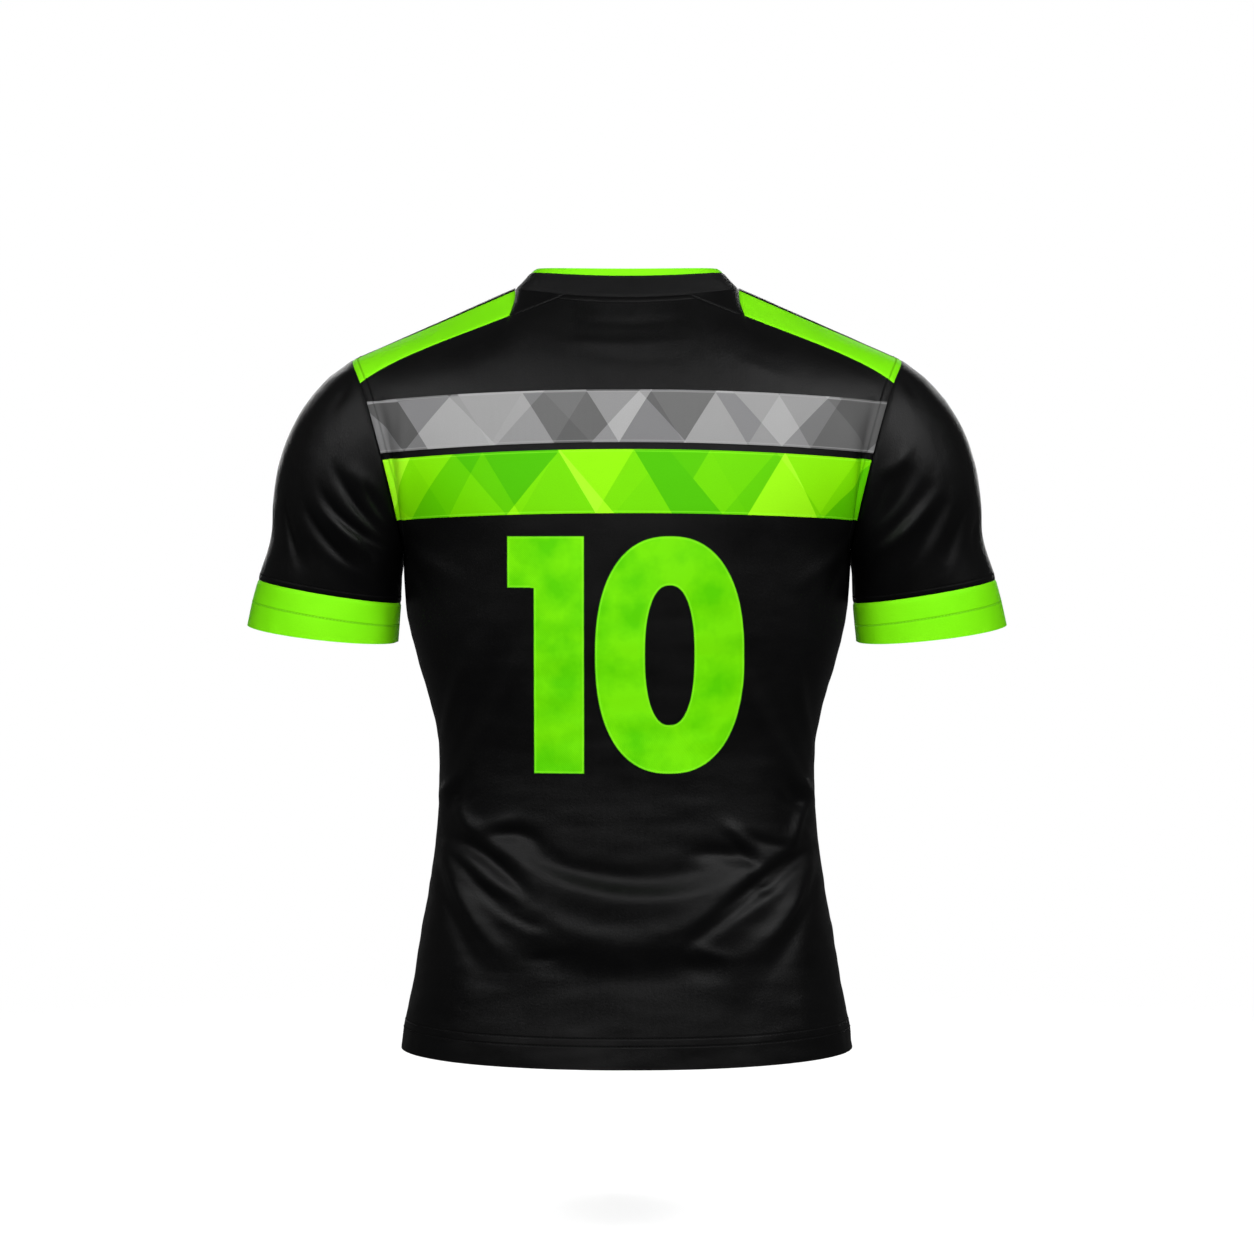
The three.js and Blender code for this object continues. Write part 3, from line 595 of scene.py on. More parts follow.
@dataclass(frozen=True)
class MosaicPrint:
    """Printed triangles in shades of one colour, in two lattices laid over each other, with painted shade
    darkening the stitched groove.
    """

    name: str
    shades: tuple[Colour, ...]
    edge: Colour
    height: float = 46.2
    bases: tuple[float, float] = (56.0, 83.0)
    shifts: tuple[float, float] = (7.0, 31.0)
    second_share: float = 0.42

    def triangles(self, n: Nodes, across: Any, up: Any, base: float, shift: float) -> Any:
        """Gives each triangle of a lattice, whose rows are as high as the band, its own number.

        Args:
            n: The material's nodes.
            across: The place along the band, in metres.
            up: The place up the band, in metres.
            base: The base of a triangle.
            shift: How far the lattice is moved along the band.

        Returns:
            A number from 0 to 1 for each triangle.
        """
        rows = n.maths("DIVIDE", n.maths("ADD", up, ROW_START * MM), self.height * MM)
        along = n.maths("DIVIDE", n.maths("ADD", across, shift * MM), base * MM)
        slanted = n.maths("MULTIPLY_ADD", rows, -0.5, along)
        beyond = n.maths("ADD", n.maths("FRACT", rows), n.maths("FRACT", slanted))
        half = n.maths("GREATER_THAN", beyond, 1.0)
        cell = n.add("CombineXYZ", {0: n.maths("FLOOR", slanted), 1: base * MM, 2: half})
        return n.add("TexWhiteNoise", {"Vector": cell.outputs[0]}, noise_dimensions="3D").outputs["Value"]

    def make(self) -> bpy.types.Material:
        """Returns the material."""
        n = Nodes(self.name)
        place, across, up = n.cloth_place()
        lattices = zip(self.bases, self.shifts, strict=True)
        first, second = (self.triangles(n, across, up, *lattice) for lattice in lattices)
        tone = n.maths("MULTIPLY_ADD", second, self.second_share,
                       n.maths("MULTIPLY", first, 1 - self.second_share))
        last = len(self.shades) - 1
        ramp = [(mix(0.2, 0.8, i / last), shade) for i, shade in enumerate(self.shades)]
        colour = n.ramp(tone, *ramp)
        colour = n.blend(n.along_rim(at=1.7, full=0.25, gone=0.6, share=0.35), colour, self.edge)
        speckle = n.ramp(n.grain(place, 1300.0, 1.0), (0.3, (0.25,) * 3), (0.7, (1.0,) * 3))
        colour = n.blend(0.12, colour, speckle, "MULTIPLY")
        loops = n.maths("ADD", n.wave(across, LOOP_WIDTH), n.wave(up, LOOP_HEIGHT))
        relief = n.maths("MULTIPLY", loops, 0.03 * MM)
        line = n.beside_line(STITCH_A)
        relief = n.maths("MULTIPLY_ADD", line, 0.3 * MM, relief)
        # painted shade: the colour darkens towards black in the stitched groove
        colour = n.blend(n.maths("MULTIPLY_ADD", line, -0.3, 0.3), colour, GROOVE_SHADE_BLACK)
        return n.finish(colour, 0.5, relief, 1.0, Specular_IOR_Level=0.08)


@dataclass(frozen=True)
class NumberPrint:
    """Heat-applied film of a figure, with a fine slanting rib, softly mottled colour, a lighter line near its
    edge and a dark rim that is partly printed outline and partly painted shadow.
    """

    name: str
    deep: Colour
    bright: Colour
    edge: Colour
    outline: Colour
    rib: float = 1.15

    def make(self) -> bpy.types.Material:
        """Returns the material."""
        n = Nodes(self.name)
        _, across, up = n.cloth_place()
        place = n.add("TexCoord").outputs["Object"]
        cloud = n.add("TexNoise", {"Vector": place, "Scale": 34.0, "Detail": 3.0, "Roughness": 0.55})
        patch = n.add("TexVoronoi", {"Vector": place, "Scale": 26.0, "Randomness": 1.0}, feature="F1")
        clouded = n.maths("MULTIPLY", cloud.outputs[0], 0.75)
        tone = n.maths("MULTIPLY_ADD", patch.outputs["Distance"], 0.35, clouded)
        colour = n.ramp(tone, (0.38, self.deep), (0.66, self.bright))
        colour = n.blend(n.along_rim(at=1.5, full=0.2, gone=0.9, share=0.45), colour, self.edge)
        # dark rim on the film's outer edge: partly printed outline, partly painted shadow
        colour = n.blend(n.along_rim(at=0.0, full=0.25, gone=0.6, share=0.85), colour, self.outline)
        ribs = n.wave(n.maths("ADD", across, up), self.rib * math.sqrt(2))
        relief = n.maths("MULTIPLY", ribs, 0.035 * MM)
        return n.finish(colour, 0.5, relief, 1.0, Specular_IOR_Level=0.08)


@dataclass(frozen=True)
class Thread:
    """Spun sewing thread."""

    name: str
    colour: Colour
    light: Colour

    def make(self) -> bpy.types.Material:
        """Returns the material."""
        n = Nodes(self.name)
        place = n.add("TexCoord").outputs["Object"]
        inputs = {"Vector": place, "Scale": 900.0, "Distortion": 1.0}
        twist = n.add("TexWave", inputs, bands_direction="DIAGONAL").outputs["Fac"]
        colour = n.ramp(twist, (0.2, self.colour), (0.8, self.light))
        return n.finish(colour, 0.55, twist, 0.05 * MM, Specular_IOR_Level=0.06)


BLACK_KNIT = Knit("black_knit", (0.0009, 0.0009, 0.001), (0.0021, 0.0021, 0.0022))
LIME_KNIT = Knit("lime_knit", (0.172, 0.73, 0.002), (0.218, 0.81, 0.006), rough=0.55, specular=0.1)
COLLAR_RIB = RibKnit("collar_rib", (0.0028, 0.0028, 0.003), (0.006, 0.006, 0.0063))
GREY_MOSAIC = MosaicPrint(
    "grey_mosaic", ((0.08,) * 3, (0.13,) * 3, (0.19, 0.19, 0.195), (0.26,) * 3, (0.34,) * 3), (0.37,) * 3)
LIME_MOSAIC = MosaicPrint(
    "lime_mosaic",
    ((0.07, 0.46, 0.0), (0.13, 0.58, 0.0), (0.2, 0.69, 0.001), (0.28, 0.79, 0.004), (0.35, 0.87, 0.02)),
    (0.3, 0.95, 0.03), height=55.8, bases=(66.0, 94.0), shifts=(27.0, 11.0), second_share=0.4)
# the last colour is the dark rim, partly printed outline and partly painted shadow
NUMBER_FILM = NumberPrint(
    "number_film", (0.085, 0.53, 0.0), (0.155, 0.66, 0.001), (0.24, 0.8, 0.02), (0.02, 0.05, 0.01))
BLACK_THREAD = Thread("black_thread", (0.002, 0.002, 0.0022), (0.007, 0.007, 0.0075))
LIME_THREAD = Thread("lime_thread", (0.14, 0.7, 0.004), (0.3, 0.95, 0.05))
Finish = Knit | RibKnit | MosaicPrint | NumberPrint | Thread


@dataclass
class Sheet:
    """One cut piece of cloth, as a shell whose outer face is a grid of points."""

    name: str
    node: str
    slot: str
    finish: Finish
    grid: Array
    closed: bool = False
    thick: float = CLOTH
    lines: tuple[Array, ...] = ()  # how far each point lies from up to two stitched lines
    rim: Array | None = None  # how far each point of a print lies from its rim
    cut_away: Array | None = None
    sewn: Edges = Edges()

    def build(self) -> bpy.types.Object:
        """Makes the piece, dresses it, hangs it on the root, hides the CAD part it stands for and logs its
        size.

        Returns:
            The finished object.
        """
        grid = with_allowances(self.grid, grid_normals(self.grid, self.closed), self.sewn)
        grid = self.closed_up(grid)
        rows, columns = grid.shape[:2]
        bpy.ops.object.select_all(action="DESELECT")
        bpy.ops.mesh.primitive_grid_add(x_subdivisions=columns - 1, y_subdivisions=rows - 1, size=1)
        piece = bpy.context.object
        piece.name = piece.data.name = self.name
        mesh = piece.data
        if len(mesh.vertices) != rows * columns:
            raise ValueError(f"{self.name}: the grid has {len(mesh.vertices)} points")
        mesh.vertices.foreach_set("co", (grid * MM).astype(np.float32).ravel())
        mesh.update()
        self.map_cloth(mesh, grid)
        far = np.full(self.grid.shape[:2], STITCH_REACH)
        near_a, near_b = (np.clip(line, -STITCH_REACH, STITCH_REACH) for line in (*self.lines, far, far)[:2])
        for name, values in ((STITCH_A, near_a), (STITCH_B, near_b), (RIM, self.rim)):
            if values is not None:
                values = self.closed_up(padded_as(values, self.sewn))
                layer = mesh.attributes.new(name, "FLOAT", "POINT")
                layer.data.foreach_set("value", values.astype(np.float32).ravel())
        gone = np.zeros(rows * columns, bool) if self.cut_away is None else self.cut_away.ravel()
        if self.closed or gone.any():
            bpy.ops.object.mode_set(mode="EDIT")
            bpy.ops.mesh.select_mode(type="VERT")
            bpy.ops.mesh.select_all(action="SELECT")
            bpy.ops.mesh.remove_doubles(threshold=TINY)
            bpy.ops.mesh.select_all(action="DESELECT")
            bpy.ops.object.mode_set(mode="OBJECT")
        if gone.any():
            mesh.vertices.foreach_set("select", gone)
            bpy.ops.object.mode_set(mode="EDIT")
            bpy.ops.mesh.delete(type="VERT")
            bpy.ops.object.mode_set(mode="OBJECT")
        area = sum(face.area for face in mesh.polygons)
        shell = piece.modifiers.new("shell", "SOLIDIFY")
        shell.thickness = self.thick * MM
        shell.offset = -1
        shell.use_quality_normals = True
        bpy.ops.object.modifier_apply(modifier=shell.name)
        bpy.ops.object.shade_smooth_by_angle(angle=math.radians(50))
        mesh.materials.clear()
        mesh.materials.append(material_of(self.finish))
        self.declare(piece, grid, area)
        return piece

    def closed_up(self, values: Array) -> Array:
        """Returns a closed piece's points or values with the first column again at the end."""
        return np.concatenate([values, values[:, :1]], axis=1) if self.closed else values

    def map_cloth(self, mesh: bpy.types.Mesh, grid: Array) -> None:
        """Gives the mesh a map of places on the flat cloth, in metres from the middle of its hem."""
        across = run_lengths(grid, 1)
        middle = across[:, grid.shape[1] // 2]
        up = run_lengths(grid, 0)
        places = np.stack([across - middle[:, None], up], axis=-1).reshape(-1, 2) * MM
        corners = np.zeros(len(mesh.loops), np.int32)
        mesh.loops.foreach_get("vertex_index", corners)
        layer = mesh.uv_layers[0]
        layer.name = CLOTH_MAP
        layer.data.foreach_set("uv", places[corners].astype(np.float32).ravel())

    def declare(self, piece: bpy.types.Object, grid: Array, area: float) -> None:
        """Hangs the piece on the root, hides the CAD part it stands for and logs its cut size and area."""
        width = float(run_lengths(grid, 1)[:, -1].max()) * MM
        length = max(float(run_lengths(grid, 0)[-1].max()), LEAST_CUT) * MM
        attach(piece, "root")
        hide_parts(self.node)
        log.info("%s: %.0f x %.0f mm, %.4f m2", self.name, width / MM, length / MM, area)


MADE: dict[str, bpy.types.Material] = {}


def material_of(finish: Finish) -> bpy.types.Material:
    """Returns the one material of a finish, made when it is first wanted."""
    if finish.name not in MADE:
        MADE[finish.name] = finish.make()
    return MADE[finish.name]


@dataclass(frozen=True)
class Half:
    """The back or the front half of the body, as a smooth surface.

    Column 0 is the centre and 1 the side seam or armhole. Below the yoke height a place is given by
    its column and its height at the centre. Above it the cloth curves over to the neck and the
    shoulder, and a place is given by its column and its share of that curve.
    """

    side: float
    depths: tuple[Level, ...]
    falls: tuple[Level, ...]
    armhole_reach: float
    armhole_bow: float
    neck_y: float
    neck_z: float
    neck_power: float
    squareness: float
    yoke: float
    at_centre: Place
    at_neck: Place
    at_tip: Place

    def armhole(self, z: Array) -> Array:
        """Returns the point of the armhole's edge at a height."""
        along = np.clip((z - ARMHOLE_MIDDLE) / ARMHOLE_HALF, -1, 1)
        aside = np.sqrt(1 - along**2)
        x = mix(ARMPIT[0], SHOULDER_TIP[0], (along + 1) / 2) - self.armhole_bow * aside
        y = NECK_SEAM_Y * (along + 1) / 2 + self.side * self.armhole_reach * aside
        return np.stack([x, y, z], axis=-1)

    def body(self, column: Array, height: Array) -> Array:
        """Returns the points below the yoke height at some columns and heights."""
        column, height = np.broadcast_arrays(np.asarray(column, float), np.asarray(height, float))
        depth = by_height(self.depths)(height)
        edge_z = height - by_height(self.falls)(height)
        hole = self.armhole(edge_z)
        above = edge_z > ARMPIT[1]
        edge_x = np.where(above, hole[..., 0], by_height(HALF_WIDTHS)(edge_z))
        edge_y = np.where(above, np.abs(hole[..., 1]), 0)
        n = self.squareness
        reach = edge_x / (1 - (edge_y / depth) ** n) ** (1 / n)
        angle = np.abs(column) * np.arcsin(np.minimum(1, (edge_x / reach) ** (n / 2)))
        x = reach * np.sin(angle) ** (2 / n)
        y = self.side * depth * np.maximum(0, np.cos(angle)) ** (2 / n)
        z = height + (edge_z - height) * (x / edge_x) ** 2
        return np.stack([np.sign(column) * x, y, z], axis=-1)

    def top(self, column: Array) -> Array:
        """Returns the points of the neck and shoulder seams at some columns."""
        share = np.abs(column)
        out = np.clip((share - NECK_SHARE) / (1 - NECK_SHARE), 0, 1)
        turn = np.clip(share / NECK_SHARE, 0, 1) * math.pi / 2
        swing = np.maximum(np.cos(turn), 0)
        past = share >= NECK_SHARE
        x = np.where(past, mix(NECK_HALF, SHOULDER_TIP[0], out), NECK_HALF * np.sin(turn))
        y = np.where(past, NECK_SEAM_Y, NECK_SEAM_Y + (self.neck_y - NECK_SEAM_Y) * swing)
        z = np.where(past, SHOULDER_TIP[1] * out, self.neck_z * swing**self.neck_power)
        return np.stack([np.sign(column) * x, y, z], axis=-1)

    def over(self, column: Array, share: Array) -> Array:
        """Returns the points above the yoke height at some columns and shares of their curves."""
        column, share = np.broadcast_arrays(np.asarray(column, float), np.asarray(share, float))
        low = self.body(column, self.yoke)
        top = self.top(column)
        handle = np.linalg.norm(top - low, axis=-1, keepdims=True) * CURL_REACH
        rise = unit(low - self.body(column, self.yoke - 1)) * handle
        round_neck = smoothstep(np.abs(column), 0, NECK_SHARE)[..., None]
        out = smoothstep(np.abs(column), NECK_SHARE, 1)[..., None]
        arrive = mix(mix(np.array(self.at_centre), np.array(self.at_neck), round_neck),
                     np.array(self.at_tip), out)
        arrive[..., 0] *= np.sign(column)
        second, third = low + rise, top - unit(arrive) * handle
        s = share[..., None]
        return ((1 - s) ** 3 * low + 3 * s * (1 - s) ** 2 * second
                + 3 * s**2 * (1 - s) * third + s**3 * top)

    def share_at_drop(self, column: Array, drop: Array) -> Array:
        """Returns the share of each column's curve that lies a drop below its top."""
        goal = self.top(column)[..., 2] - drop
        low, high = np.zeros_like(goal), np.ones_like(goal)
        for _ in range(HALVINGS):
            middle = (low + high) / 2
            under = self.over(column, middle)[..., 2] < goal
            low, high = np.where(under, middle, low), np.where(under, high, middle)
        return high


BACK = Half(
    side=-1,
    depths=(Level(-683, 131), Level(-620, 128), Level(-560, 122), Level(-500, 114), Level(-430, 110),
            Level(-365, 115), Level(-300, 122), Level(-206, 126), Level(-150, 121), Level(-94, 109),
            Level(-45, 84)),
    falls=(Level(-683, -3.5), Level(-620, 0), Level(-238, 0), Level(-201, 5.7), Level(-146, 8.6),
           Level(-94, 9.3)),
    armhole_reach=80, armhole_bow=7.5, neck_y=-60, neck_z=-10, neck_power=2, squareness=2.4, yoke=-94,
    at_centre=(0, 0.55, 0.83), at_neck=(0.06, 0.85, 0.5), at_tip=(0, 1, 0.14),
)
FRONT = Half(
    side=1,
    depths=(Level(-683, 112), Level(-620, 110), Level(-560, 106), Level(-430, 103), Level(-300, 111),
            Level(-220, 113), Level(-150, 107), Level(-100, 94)),
    falls=(Level(-683, -3.5), Level(-620, 0), Level(-238, 0), Level(-195, -17), Level(-150, -46)),
    armhole_reach=78, armhole_bow=12, neck_y=84, neck_z=-78, neck_power=1.15, squareness=2.3, yoke=-150,
    at_centre=(0, -0.4, 0.92), at_neck=(0.04, -1, -0.3), at_tip=(0, -1, -0.2),
)


def even_columns(half: Half, start: float, end: float, soft_end: bool = False) -> Array:
    """Divides a run of columns so that they lie evenly over the chest."""
    dense = np.linspace(start, end, 400)
    runs = run_lengths(half.body(dense, CHEST)[None], 1)[0]
    return np.interp(stops(runs[-1], soft_end=soft_end) * runs[-1], runs, dense)


GUSSET_COLUMNS = even_columns(BACK, GUSSET_TIP, NECK_SHARE)
NECK_COLUMNS = np.concatenate([even_columns(BACK, 0, GUSSET_TIP), GUSSET_COLUMNS[1:]])
SHOULDER_COLUMNS = even_columns(BACK, NECK_SHARE, 1, soft_end=True)
HALF_COLUMNS = np.concatenate([NECK_COLUMNS, SHOULDER_COLUMNS[1:]])
COLUMNS = np.concatenate([-HALF_COLUMNS[:0:-1], HALF_COLUMNS])


def back_top_share(column: Array) -> Array:
    """Returns the share of the back's curve at which the back panel ends, for some columns."""
    share = np.abs(column)
    out = (share - NECK_SHARE) / (1 - NECK_SHARE)
    tip, corner, here = (BACK.top(np.asarray(c, float)) for c in (GUSSET_TIP, NECK_SHARE, share))
    along = (here[..., 0] - tip[..., 0]) / (corner[..., 0] - tip[..., 0])
    line = mix(tip[..., 2], corner[..., 2] - SHOULDER_PANEL_DROP[0], along)
    drop = np.where(share >= NECK_SHARE, mix(*SHOULDER_PANEL_DROP, out), here[..., 2] - line)
    ends = BACK.share_at_drop(share, drop)
    return np.where(share < GUSSET_TIP + TINY, 1.0, ends)


def relaxed(grid: Array, share: Array, passes: int = 30) -> Array:
    """Evens out the cloth up its columns.

    Args:
        grid: The cloth.
        share: How freely each point moves, from 0 to 1.
        passes: How many times each point moves towards its neighbours above and below.

    Returns:
        The moved points.
    """
    grid = grid.copy()
    for _ in range(passes):
        between = (grid[:-2] + grid[2:]) / 2
        grid[1:-1] = mix(grid[1:-1], between, share[1:-1, :, None] / 2)
    return grid


@dataclass
class Panel:
    """The surface of the back or front, with what is needed to put things on it."""

    half: Half
    heights: Array
    shares: Array
    grid: Array
    normals: Array
    unfolded: Array
    to_armhole: Array
    to_edge: Array

    @classmethod
    def plain(cls, half: Half, pitch: float, shares: Array, ends: Array) -> "Panel":
        """Lays out a half of the body without its folds.

        Args:
            half: The half of the body.
            pitch: The distance between rows below the armpits.
            shares: Where the rows above the yoke height lie on the panel's curves.
            ends: The share of the half's curves at which each column of the panel ends.

        Returns:
            The panel, with its columns running right when seen from outside.
        """
        below = mix(HEM, ARMPIT[1], stops(ARMPIT[1] - HEM, pitch=pitch))
        beside = mix(ARMPIT[1], half.yoke, stops(half.yoke - ARMPIT[1]))
        heights = np.concatenate([below, beside[1:]])
        grid = np.concatenate([half.body(COLUMNS[None], heights[:, None]),
                               half.over(COLUMNS[None], shares[:, None] * ends[None])])
        grid = grid if half.side < 0 else grid[:, ::-1]
        armhole = int(heights.searchsorted(ARMPIT[1] - TINY))
        to_armhole = np.minimum(*(nearest(grid[armhole:, c], grid)[0] for c in (0, -1)))
        to_edge = np.minimum.reduce([nearest(e, grid)[0] for e in (grid[:, 0], grid[:, -1], grid[-1])])
        near_armpit = np.exp(-(((grid[..., 2] - ARMPIT[1]) / EASED_REACH) ** 2))
        grid = relaxed(grid, near_armpit * smoothstep(to_edge, 0, STILL_EDGE))
        return cls(half, heights, shares, grid, grid_normals(grid), grid, to_armhole, to_edge)

    def lifted(self, lift: Array) -> None:
        """Moves the cloth out, but not at its edges."""
        still = smoothstep(self.to_edge, 0, STILL_EDGE)
        self.grid = self.grid + self.normals * (lift * still)[..., None]
        self.normals = grid_normals(self.grid)

    def creased(self, folds: Sequence[Fold], facing: Facing, waist: float,
                seeds: tuple[float, float, float]) -> None:
        """Folds the cloth, and makes its waist, all of it and its hem a little uneven.

        Args:
            folds: The folds of this side.
            facing: The side.
            waist: How far the cloth below the chest swells.
            seeds: What places the waves of the waist, of all of it and of the hem.
        """
        grid = self.grid
        low = smoothstep(-grid[..., 2], 210, 330)
        near_hem = np.exp(-((grid[..., 2] - HEM - 14) / 16) ** 2)
        lift = fold_lift(folds, grid, self.normals, facing)
        lift += waist * low * ripples(grid, (60, 60, 17), seeds[0])
        lift += 0.3 * ripples(grid, (34, 34, 30), seeds[1])
        lift += 0.45 * near_hem * ripples(grid, (13, 13, 26), seeds[2])
        self.lifted(lift)

    def stitched(self, hem_lines: Sequence[float], armhole_line: float) -> list[Array]:
        """Returns the points of the stitched lines of the hem and the armholes."""
        lines = [self.at(COLUMNS, HEM + up, THREAD_LIFT) for up in hem_lines]
        return lines + [contour(self, self.to_armhole, armhole_line, way) for way in (-1, 1)]

    def cut(self) -> Array:
        """Returns the cloth's points with its sewn edges trimmed and turned in."""
        below = np.concatenate([self.heights <= ARMPIT[1] + TINY, np.zeros(len(self.shares), bool)])
        cut = pulled_in(self.grid, SEAM_GAP / 2, Edges(top=True, first=True, last=True), below)
        return dipped(cut, self.normals, (cut[:, 0], cut[:, -1], cut[-1]))

    def at(self, column: Array, height: Array, lift: float = 0.0) -> Array:
        """Returns points of the folded cloth below the yoke height, moved out by a lift."""
        row = np.interp(height, self.heights, np.arange(len(self.heights)))
        place = np.interp(column, COLUMNS, np.arange(len(COLUMNS)))
        return self.between(row, place, lift)

    def between(self, row: Array, place: Array, lift: float = 0.0) -> Array:
        """Returns points between the rows and columns of the mesh, moved out by a lift."""
        return between(self.grid + self.normals * lift, row, place)

    def seen_at(self, x: Array, z: Array, lift: float) -> Array:
        """Returns points of the folded cloth at places seen square on, moved out by a lift."""
        middle = len(self.unfolded) // 2, self.unfolded.shape[1] // 2
        row = np.interp(z, self.unfolded[:, middle[1], 2], np.arange(len(self.unfolded)))
        place = np.interp(x, self.unfolded[middle[0], :, 0], np.arange(self.unfolded.shape[1]))
        for _ in range(PLACE_PASSES):
            here, right, above = (between(self.unfolded, row + i, place + j)
                                  for i, j in ((0, 0), (0, 1), (1, 0)))
            place = place + (x - here[..., 0]) / (right - here)[..., 0]
            row = row + (z - here[..., 2]) / (above - here)[..., 2]
        return self.between(row, place, lift)


def between(grid: Array, row: Array, place: Array) -> Array:
    """Returns points between the rows and columns of a grid."""
    row, place = np.broadcast_arrays(row, place)
    i = np.clip(np.floor(row).astype(int), 0, grid.shape[0] - 2)
    j = np.clip(np.floor(place).astype(int), 0, grid.shape[1] - 2)
    a, b = (row - i)[..., None], (place - j)[..., None]
    return mix(mix(grid[i, j], grid[i, j + 1], b), mix(grid[i + 1, j], grid[i + 1, j + 1], b), a)


@dataclass
class BackPanel:
    """The back of the body, with the creases of the waist and two stitched lines at the hem."""

    hem_lines: tuple[float, float] = (20.0, 27.0)
    armhole_line: float = 7.0
    neck_line: float = 6.5
    neck_line_half: float = 61.0
    neck_rows: int = 12  # rows of the mesh that the line below the collar is looked for in
    neck_strip_rise: float = 0.5
    top_run: float = 96.0  # the cloth above the yoke height, at the shoulder
    top_stops: tuple[float, ...] = (5.4, 6.2, 7.0)  # further rows beside the line below the collar
    waist: float = 0.55
    seeds: tuple[float, float, float] = (3.7, 11.3, 5.1)
    folds: tuple[Fold, ...] = (
        # the swell under the small of the back, with two long hanging folds
        Fold(-150, -510, 0, -562, 150, -520, 4.5, 30),
        Fold(-126, -486, 0, -537, 118, -511, 5.0, 9, 1.9),
        Fold(-150, -490, -6, -574, 158, -490, 3.4, 11, 1.7),
        Fold(-118, -478, -10, -518, 108, -496, -3.2, 9),
        Fold(-76, -592, 0, -602, 70, -594, -3.4, 15),
        # steep valleys that start at the sides
        Fold(-166, -486, -124, -502, -84, -538, -6.8, 8.5, 0.8),
        Fold(-138, -526, -106, -541, -54, -567, -3.6, 8),
        Fold(166, -498, 121, -520, 55, -572, -6.8, 8.5, 0.8),
        Fold(50, -577, 68, -585, 90, -588, 3.1, 7),
        Fold(44, -590, 62, -596, 86, -596, -1.4, 8),
        Fold(-90, -586, -64, -590, -38, -586, -1.0, 9),
        Fold(-162, -500, -140, -550, -100, -592, 5.2, 11),
        Fold(163, -505, 140, -555, 94, -592, 5.2, 11),
        Fold(-172, -512, -152, -556, -126, -604, -3.1, 9),
        Fold(172, -514, 152, -560, 122, -606, -3.1, 9),
        Fold(-121, -483, -95, -481, -70, -495, -4.9, 7),
        Fold(54, -499, 84, -498, 119, -508, -4.9, 7),
        Fold(82, -472, 96, -482, 112, -498, 2.9, 6),
        Fold(-96, -468, -110, -474, -128, -476, 2.3, 6),
        # tension lines up the sides
        Fold(-132, -311, -150, -354, -165, -404, 2.5, 8),
        Fold(-90, -318, -112, -366, -146, -433, 2.2, 8),
        Fold(-146, -432, -158, -444, -168, -452, 3.1, 7),
        Fold(-141, -436, -150, -446, -160, -462, -3.9, 7),
        Fold(-150, -458, -140, -474, -126, -480, 3.4, 7),
        Fold(145, -322, 154, -366, 164, -406, 2.5, 8),
        Fold(102, -336, 120, -380, 153, -438, 2.2, 8),
        Fold(153, -437, 160, -446, 168, -456, 3.1, 7),
        Fold(139, -438, 148, -449, 158, -460, -3.9, 7),
        Fold(164, -453, 151, -474, 147, -494, 3.4, 7),
        Fold(-118, -330, -132, -372, -154, -418, -1.6, 6),
        Fold(126, -346, 138, -386, 158, -428, -1.6, 6),
        # soft falls towards the hem
        Fold(-195, -674, 0, -690, 195, -674, 6.8, 46),
        Fold(-136, -588, -134, -630, -138, -682, 2.2, 26),
        Fold(-34, -596, -32, -636, -34, -682, -2.4, 22),
        Fold(62, -588, 66, -630, 62, -682, 1.8, 26),
        Fold(150, -600, 152, -634, 158, -672, 1.6, 14),
        Fold(-96, -600, -88, -632, -92, -668, -0.9, 12),
        Fold(110, -604, 104, -634, 110, -668, -1.2, 12),
        # narrow creases that start at the sides
        Fold(-166, -497, -140, -516, -112, -546, -2.4, 4),
        Fold(-112, -546, -92, -556, -74, -562, -2.2, 4),
        Fold(-161, -512, -144, -552, -116, -586, -2.2, 4.5),
        Fold(-88, -588, -70, -587, -52, -584, -1.1, 4),
        Fold(84, -478, 101, -496, 114, -508, -2.6, 4.5),
        Fold(104, -481, 122, -490, 144, -494, -2.0, 4),
        Fold(162, -499, 118, -532, 56, -574, -2.6, 5, 0.6),
        Fold(56, -574, 62, -585, 84, -592, -1.5, 4.5),
        Fold(110, -528, 122, -530, 134, -526, -1.6, 4),
        Fold(159, -520, 148, -554, 128, -580, -2.0, 5),
        Fold(-158, -446, -146, -452, -132, -448, -2.0, 4),
        Fold(132, -446, 142, -456, 156, -458, -2.0, 4),
        # faint lines of the upper back and beside the armholes
        Fold(-44, -31, 2, -34, 48, -30, -0.8, 5),
        Fold(-58, -50, -4, -53, 52, -49, 0.9, 6),
        Fold(-30, -64, 14, -67, 60, -62, -0.5, 6),
        Fold(84, -58, 108, -72, 140, -82, 0.8, 8),
        Fold(-196, -108, -197, -150, -196, -212, 2.2, 7, 0.6),
        Fold(196, -108, 197, -150, 196, -212, 2.2, 7, 1.7),
        Fold(-218, -104, -209, -150, -203, -214, -4.8, 5.5),
        Fold(218, -104, 209, -150, 203, -214, -4.8, 5.5),
        Fold(-196, -222, -172, -246, -140, -262, 1.6, 8),
        Fold(-198, -236, -180, -264, -162, -300, -1.6, 8),
        Fold(197, -224, 174, -248, 144, -266, 1.6, 8),
        Fold(198, -238, 181, -266, 166, -304, -1.6, 8),
    )

